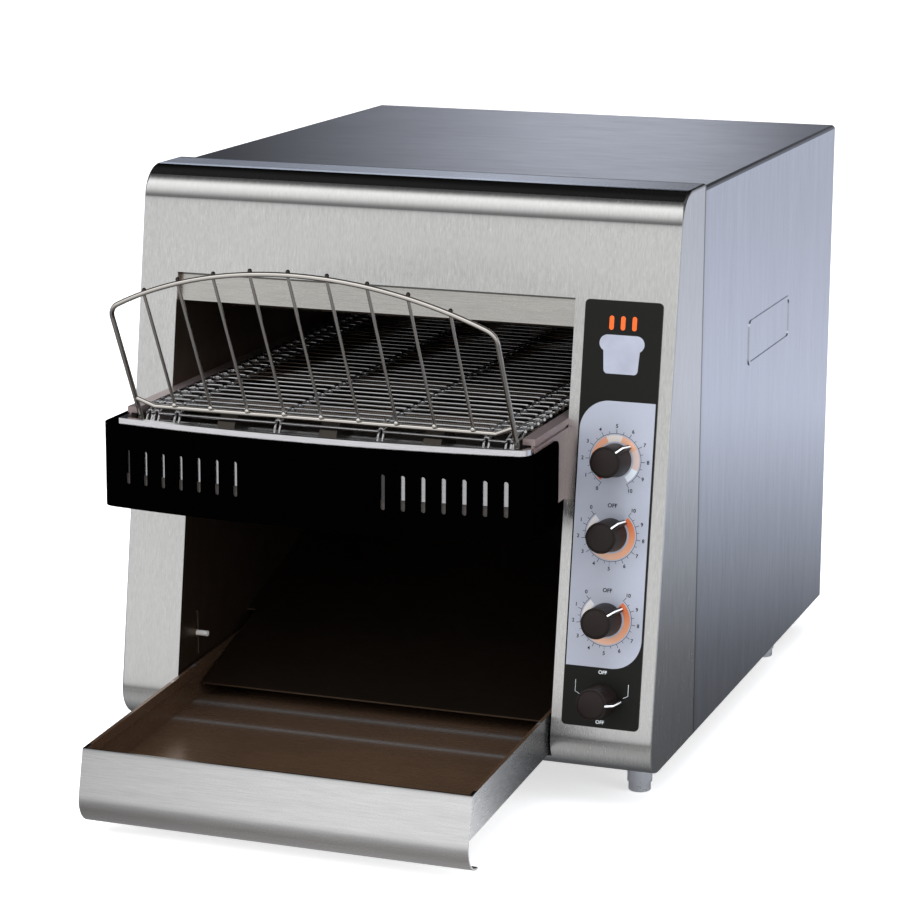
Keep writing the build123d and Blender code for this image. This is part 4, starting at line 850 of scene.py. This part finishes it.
def make_belt():
    low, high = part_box("conveyor_belt")
    idler = Vector(joints["idler_spin"]["pos_m"])
    drive = Vector(joints["drive_shaft_spin"]["pos_m"])
    radius = high.z - belt_wire - idler.z
    first = belt_strand(low.x, high.x)
    strands = []
    for y, z, heading in belt_stations(idler, drive, radius):
        strand = place_in_scene("strand", first.data.copy())
        strand.data.transform(Matrix.Translation((0, y, z)) @ Matrix.Rotation(heading, 4, "X"))
        strands.append(strand)
    bpy.data.objects.remove(first)
    belt = join(strands, "wire_belt")
    paint_with(belt, wire_steel)
    smooth(belt, 60)
    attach(belt, "housing")
    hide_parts("conveyor_belt")


make_belt()


# ================================================================ knobs
def knob_grip():
    """Tapered grip with a rounded rim and a shallow hollow in its front."""
    bpy.ops.mesh.primitive_cone_add(vertices=56, radius1=knob_base, radius2=knob_front, depth=knob_length,
                                    location=(0, 0, knob_length / 2))
    grip = settle(bpy.context.object)
    bpy.ops.object.mode_set(mode="EDIT")
    bpy.ops.mesh.select_mode(type="FACE")
    bpy.ops.mesh.select_all(action="DESELECT")
    bpy.ops.object.mode_set(mode="OBJECT")
    for face in grip.data.polygons:
        face.select = face.center.z > knob_length - 0.1 * mm
    bpy.ops.object.mode_set(mode="EDIT")
    bpy.ops.mesh.bevel(offset=knob_rounding, segments=3)
    bpy.ops.mesh.inset(thickness=knob_border)
    bpy.ops.transform.translate(value=(0, 0, -knob_hollow))
    bpy.ops.object.mode_set(mode="OBJECT")
    return paint_with(grip, knob_plastic)


def knob_fin(width, proud, material):
    """Pointer along the knob's side: straight ridge, cut back to the knob's front edge."""
    inner = knob_front / 2
    reach = fin_reach + proud
    length = knob_length - fin_step + proud
    bpy.ops.mesh.primitive_cube_add(size=1.0, location=(0, (inner + reach) / 2, length / 2))
    fin = bpy.context.object
    fin.scale = (width, reach - inner, length)
    settle(fin)
    bpy.ops.object.mode_set(mode="EDIT")
    bpy.ops.mesh.select_all(action="SELECT")
    cut = Vector((0, reach, length - fin_cut_back))
    slope = Vector((0, fin_cut_back, fin_cut_in)).normalized()
    bpy.ops.mesh.bisect(plane_co=cut, plane_no=slope, use_fill=True, clear_outer=True)
    bpy.ops.mesh.select_all(action="SELECT")
    bpy.ops.mesh.bevel(offset=fin_rounding, segments=2)
    bpy.ops.object.mode_set(mode="OBJECT")
    return paint_with(fin, material)


def knob_line():
    """White line on the pointer's ridge, kept to its outer skin."""
    line = knob_fin(line_width, line_proud, knob_white)
    bpy.ops.object.mode_set(mode="EDIT")
    bpy.ops.mesh.select_all(action="SELECT")
    start = (0, line_start, 0)
    bpy.ops.mesh.bisect(plane_co=start, plane_no=(0, -1, 0), use_fill=True, clear_outer=True)
    bpy.ops.object.mode_set(mode="OBJECT")
    return line


def make_knob(body):
    """Grip, pointer and white line, turned to their setting on the dial."""
    knob = join([knob_grip(), knob_fin(fin_width, 0, knob_plastic), knob_line()], body + "_grip")
    turn = Matrix.Rotation(radians(-knob_turns[body]), 4, "Z")
    lift = Matrix.Translation((0, 0, film + knob_gap))
    settle(knob, face_frame(body + "_turn") @ lift @ turn)
    smooth(knob, 30)
    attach(knob, body)
    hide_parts(body)


for body in knob_turns:
    make_knob(body)


# ================================================================ prints on the overlay
def printed_text(words, right, up, joint_name, material, size):
    """Flat lettering, placed in millimetres from a knob's axis."""
    bpy.ops.object.text_add(location=(right * mm, up * mm, film + ink))
    text = bpy.context.object
    text.data.body = words
    text.data.size = size
    text.data.align_x = "CENTER"
    text.data.align_y = "CENTER"
    text.data.extrude = ink / 2
    text.data.offset = letter_weight
    return paint_with(settle(as_mesh(text), face_frame(joint_name)), material)


def printed_stroke(points, joint_name, material):
    """Thin line through points in millimetres from a knob's axis."""
    line = wire([(x * mm, y * mm, film) for x, y in points], stroke_width / 2, roundness=1)
    return paint_with(settle(line, face_frame(joint_name)), material)


def printed_shape(points, joint_name, material):
    """Flat filled print inside points in millimetres from a knob's axis."""
    curve = bpy.data.curves.new("shape", "CURVE")
    curve.dimensions = "2D"
    curve.fill_mode = "BOTH"
    curve.extrude = ink / 2
    add_runs(curve, [(x * mm, y * mm, 0) for x, y in points], closed=True)
    shape = place_in_scene("shape", curve)
    shape.location = (0, 0, film + ink)
    return paint_with(settle(as_mesh(shape), face_frame(joint_name)), material)


def arc(x, y, radius, start, end):
    """Points of an arc round x, y, from a start to an end in degrees."""
    steps = 8
    turns = [radians(start + (end - start) * step / steps) for step in range(steps + 1)]
    return [(x + radius * cos(turn), y + radius * sin(turn)) for turn in turns]


def slice_sign():
    """Plain slice of bread with three short bars over it."""
    foot_x, foot_y = slice_foot
    crown_x, crown_y = slice_crown
    outline = arc(foot_x, sign_place + foot_y, slice_foot_round, -90, 0)
    outline += arc(crown_x, sign_place + crown_y, slice_crown_round, -62, 96)
    outline += [(-x, y) for x, y in reversed(outline)]
    shapes = [printed_shape(outline, "speed_knob_turn", ink_lavender)]
    for x in bar_places:
        bar = arc(x, sign_place + bar_low, bar_round, 180, 360)
        bar += arc(x, sign_place + bar_high, bar_round, 0, 180)
        shapes.append(printed_shape(bar, "speed_knob_turn", ink_orange))
    return shapes


def dial_numbers(joint_name, first, step):
    """The numbers round a dial, from 0 on."""
    numbers = []
    for number in range(last_number + 1):
        turn = radians(first + step * number)
        right = number_radius * sin(turn)
        up = number_radius * cos(turn)
        numbers.append(printed_text(str(number), right, up, joint_name, ink_dark, number_size))
    return numbers


def make_prints():
    dark = dial_numbers("speed_knob_turn", speed_first, speed_step)
    for joint_name in heat_dials:
        dark += dial_numbers(joint_name, heat_first, heat_step)
        dark.append(printed_text("OFF", 0, heat_off_place, joint_name, ink_dark, heat_off_size))
    pale = []
    for up in power_off_places:
        pale.append(printed_text("OFF", 0, up, "power_knob_turn", ink_white, power_off_size))
    for side in (-1, 1):
        mark = [(side * x, y) for x, y in power_mark]
        pale.append(printed_stroke(mark, "power_knob_turn", ink_white))
    prints = {"dial_numbers": dark, "power_dial_marks": pale, "slice_sign": slice_sign()}
    for name, shapes in prints.items():
        piece = join(shapes, name)
        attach(piece, "housing")


make_prints()


# ================================================================ bread rack fittings
def nub(radius, place, shape):
    """Small squashed ball."""
    bpy.ops.mesh.primitive_uv_sphere_add(segments=12, ring_count=8, radius=radius, location=place)
    ball = bpy.context.object
    ball.scale = shape
    return settle(ball)


def finish_nubs(nubs, name, material):
    piece = join(nubs, name)
    paint_with(piece, material)
    smooth(piece, 60)
    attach(piece, "bread_rack")


def make_rack_welds():
    """Rods' ends hooked over the arch, and weld nubs where the rods meet the lower bar."""
    low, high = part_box("bread_rack")
    middle = (low.x + high.x) / 2
    points = [vertex.co.copy() for vertex in nodes["bread_rack"].data.vertices]
    hooks = []
    welds = []
    for index in range(rack_rods):
        x = middle + (index - (rack_rods - 1) / 2) * rack_rod_pitch
        near = [point for point in points if abs(point.x - x) < 4 * mm]
        top = max(near, key=lambda point: point.z)
        foot = min(near, key=lambda point: point.z)
        hooks.append(nub(hook_radius, (x, top.y + hook_back, top.z + hook_up), hook_shape))
        welds.append(nub(weld_radius, (x, foot.y - weld_forward, foot.z + weld_up), weld_shape))
    finish_nubs(hooks, "rack_rod_hooks", hook_steel)
    finish_nubs(welds, "rack_bar_welds", rack_chrome)


make_rack_welds()


# ================================================================ small folds and edges, and a strip of painted shade
def make_skirt_hem():
    """Dark strip under the rim's skirt, a painted shade that shows through the lower part of the guard's
    slots.
    """
    rim = nodes["conveyor_front_rim"].data
    top = (0, 0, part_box("conveyor_front_rim")[0].z + skirt_shade_strip)
    hem = place_in_scene("skirt_shade_strip", rim.copy())
    focus(hem)
    bpy.ops.object.mode_set(mode="EDIT")
    bpy.ops.mesh.select_all(action="SELECT")
    bpy.ops.mesh.remove_doubles(threshold=0.01 * mm)
    bpy.ops.mesh.bisect(plane_co=top, plane_no=(0, 0, 1), use_fill=True, clear_outer=True)
    bpy.ops.mesh.select_all(action="SELECT")
    bpy.ops.transform.translate(value=(0, 0, -skirt_shade_strip))
    bpy.ops.object.mode_set(mode="OBJECT")
    paint_with(hem, skirt_shade_steel)
    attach(hem, "housing")


def make_pin_slot_edges():
    """Turned edge along the rear of each guide pin's slot."""
    low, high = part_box("guide_pins")
    middle = (low + high) / 2
    top = middle.z + pin_slot_half - pin_slot_edge
    edges = []
    for x in (low.x + pin_slot_inset, high.x - pin_slot_inset):
        points = [(x, middle.y + pin_slot_edge, middle.z - pin_slot_half)]
        points += [(x, y, z) for y, z in arc(middle.y, top, pin_slot_edge, 0, pin_slot_turn)]
        edges.append(wire(points, pin_slot_wire))
    edges = join(edges, "pin_slot_edges")
    paint_with(edges, slot_edge_steel)
    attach(edges, "housing")


make_skirt_hem()
make_pin_slot_edges()


# ================================================================ studio
def make_floor():
    """Pale floor; polished metal sees a painted reflection of it, with painted shade near the toaster,
    bluish behind and neutral in front.
    """
    bpy.ops.mesh.primitive_circle_add(vertices=96, radius=40, fill_type="NGON", location=(0, 0, -0.5 * mm))
    floor = bpy.context.object
    floor.name = "floor"
    material = bpy.data.materials.new("floor_white")
    material.use_nodes = True
    paint = Paint(material.node_tree)
    material.node_tree.nodes.remove(material.node_tree.nodes["Principled BSDF"])
    place = paint.place()
    y = paint.split(place)[1]
    away = paint.node("ShaderNodeVectorMath", {"operation": "LENGTH"}, {0: place}, out="Value")
    # what polished metal sees: a painted reflection of the floor, with painted shade near the toaster
    behind = paint.ramp(away / 3.0, [
        (0.0, (0.06, 0.06, 0.065)), (0.07, (0.085, 0.088, 0.095)), (0.115, (0.13, 0.135, 0.147)),
        (0.19, (0.275, 0.294, 0.333)), (0.40, (0.65, 0.69, 0.80)), (0.90, (0.525, 0.55, 0.63))])
    ahead = paint.ramp(y * -1.0, [
        (0.17, grey(0.40)), (0.27, grey(0.36)), (0.33, (0.21, 0.20, 0.195)),
        (0.42, grey(0.45)), (0.60, grey(0.74))])
    seen = paint.mix(paint.ramp(y * -4.0, [(0.60, grey(0)), (0.80, grey(1))]), behind, ahead)
    matt = paint.node("ShaderNodeBsdfDiffuse", {}, {"Color": grey(0.93)})
    glow = paint.ramp(away / 6.0, [(0.1, grey(0.60)), (0.5, grey(0.85))])
    lift = paint.node("ShaderNodeEmission", {}, {"Color": grey(1), "Strength": glow})
    lit = paint.node("ShaderNodeAddShader", {}, {0: matt, 1: lift})
    mirrored = paint.node("ShaderNodeEmission", {}, {"Color": seen, "Strength": 1.0})
    glossy = paint.node("ShaderNodeLightPath", {}, {}, out="Is Glossy Ray")
    surface = paint.node("ShaderNodeMixShader", {}, {0: glossy, 1: lit, 2: mirrored})
    output = material.node_tree.nodes["Material Output"]
    material.node_tree.links.new(surface.socket, output.inputs["Surface"])
    floor.data.materials.append(material)


def make_world():
    """Studio: a bluish wall behind, dim overhead, a long softbox in front and a pale room below it."""
    world = bpy.data.worlds.new("studio")
    bpy.context.scene.world = world
    world.use_nodes = True
    paint = Paint(world.node_tree)
    x, y, z = paint.split(paint.node("ShaderNodeTexCoord", {}, {}, out="Generated"))
    climb = paint.node("ShaderNodeMath", {"operation": "ARCTAN2"}, {0: z, 1: y}) / pi
    studio = paint.ramp(climb, [
        (0.00, (0.34, 0.355, 0.40)), (0.065, (0.36, 0.375, 0.42)), (0.09, grey(0.02)), (0.12, grey(0.010)),
        (0.20, grey(0.010)), (0.30, grey(0.10)), (0.47, grey(0.10)), (0.55, grey(0.010)),
        (0.57, grey(0.010)), (0.62, grey(0.35)), (0.66, grey(1.35)), (0.85, grey(1.12)),
        (0.92, grey(0.88)), (0.955, grey(0.57)), (1.00, grey(0.71))])
    sweep = paint.node("ShaderNodeMath", {"operation": "ARCTAN2"}, {0: x, 1: y}) * (4 / pi) + 1.0
    wall = paint.ramp(sweep, [
        (0.0, grey(1.0)), (0.10, grey(0.5)), (0.40, grey(0.18)), (0.467, grey(0.20)), (0.511, grey(0.55)),
        (0.547, grey(0.95)), (0.60, grey(1.6)), (0.64, grey(1.7)), (0.67, grey(1.5)),
        (0.71, grey(0.55)), (0.78, grey(0.42)), (1.0, grey(1.0))])
    studio = paint.node("ShaderNodeVectorMath", {"operation": "MULTIPLY"}, {0: studio, 1: wall})
    camera_ray = paint.node("ShaderNodeLightPath", {}, {}, out="Is Camera Ray")
    colour = paint.mix(camera_ray, studio, grey(1))
    background = world.node_tree.nodes["Background"]
    world.node_tree.links.new(colour.socket, background.inputs["Color"])
    background.inputs["Strength"].default_value = 1.0


def area_light(name, place, target, size, power, colour=(1, 1, 1)):
    """Soft rectangular light that doesn't show in reflections."""
    data = bpy.data.lights.new(name, "AREA")
    data.shape = "RECTANGLE"
    data.size, data.size_y = size
    data.energy = power
    data.color = colour
    lamp = place_in_scene(name, data)
    lamp.location = place
    lamp.rotation_euler = (Vector(target) - Vector(place)).to_track_quat("-Z", "Y").to_euler()
    lamp.visible_glossy = False


def make_camera():
    level = Vector((cos(camera_turn), sin(camera_turn), 0))
    forward = Vector((-sin(camera_turn), cos(camera_turn), 0))
    ahead = forward * cos(camera_dip) - Vector((0, 0, sin(camera_dip)))
    above = level.cross(ahead)
    right = level * cos(camera_roll) + above * sin(camera_roll)
    up = above * cos(camera_roll) - level * sin(camera_roll)
    data = bpy.data.cameras.new("camera")
    data.lens = lens
    data.sensor_width = sensor
    camera = place_in_scene("camera", data)
    turned = Matrix((right, up, -ahead)).transposed().to_4x4()
    camera.matrix_world = Matrix.Translation(camera_place) @ turned
    bpy.context.scene.camera = camera


make_floor()
make_world()
area_light("overhead", (0.3, -0.6, 2.4), (0, 0, 0.1), (2.6, 2.6), 66, (0.86, 0.92, 1.0))
area_light("front_left", (-1.8, -2.6, 1.5), (0, -0.1, 0.2), (1.8, 1.8), 40)
area_light("right", (2.6, -1.0, 1.4), (0, 0, 0.2), (1.6, 1.6), 26, (0.92, 0.95, 1.0))
make_camera()
bpy.context.scene.view_settings.view_transform = "Standard"
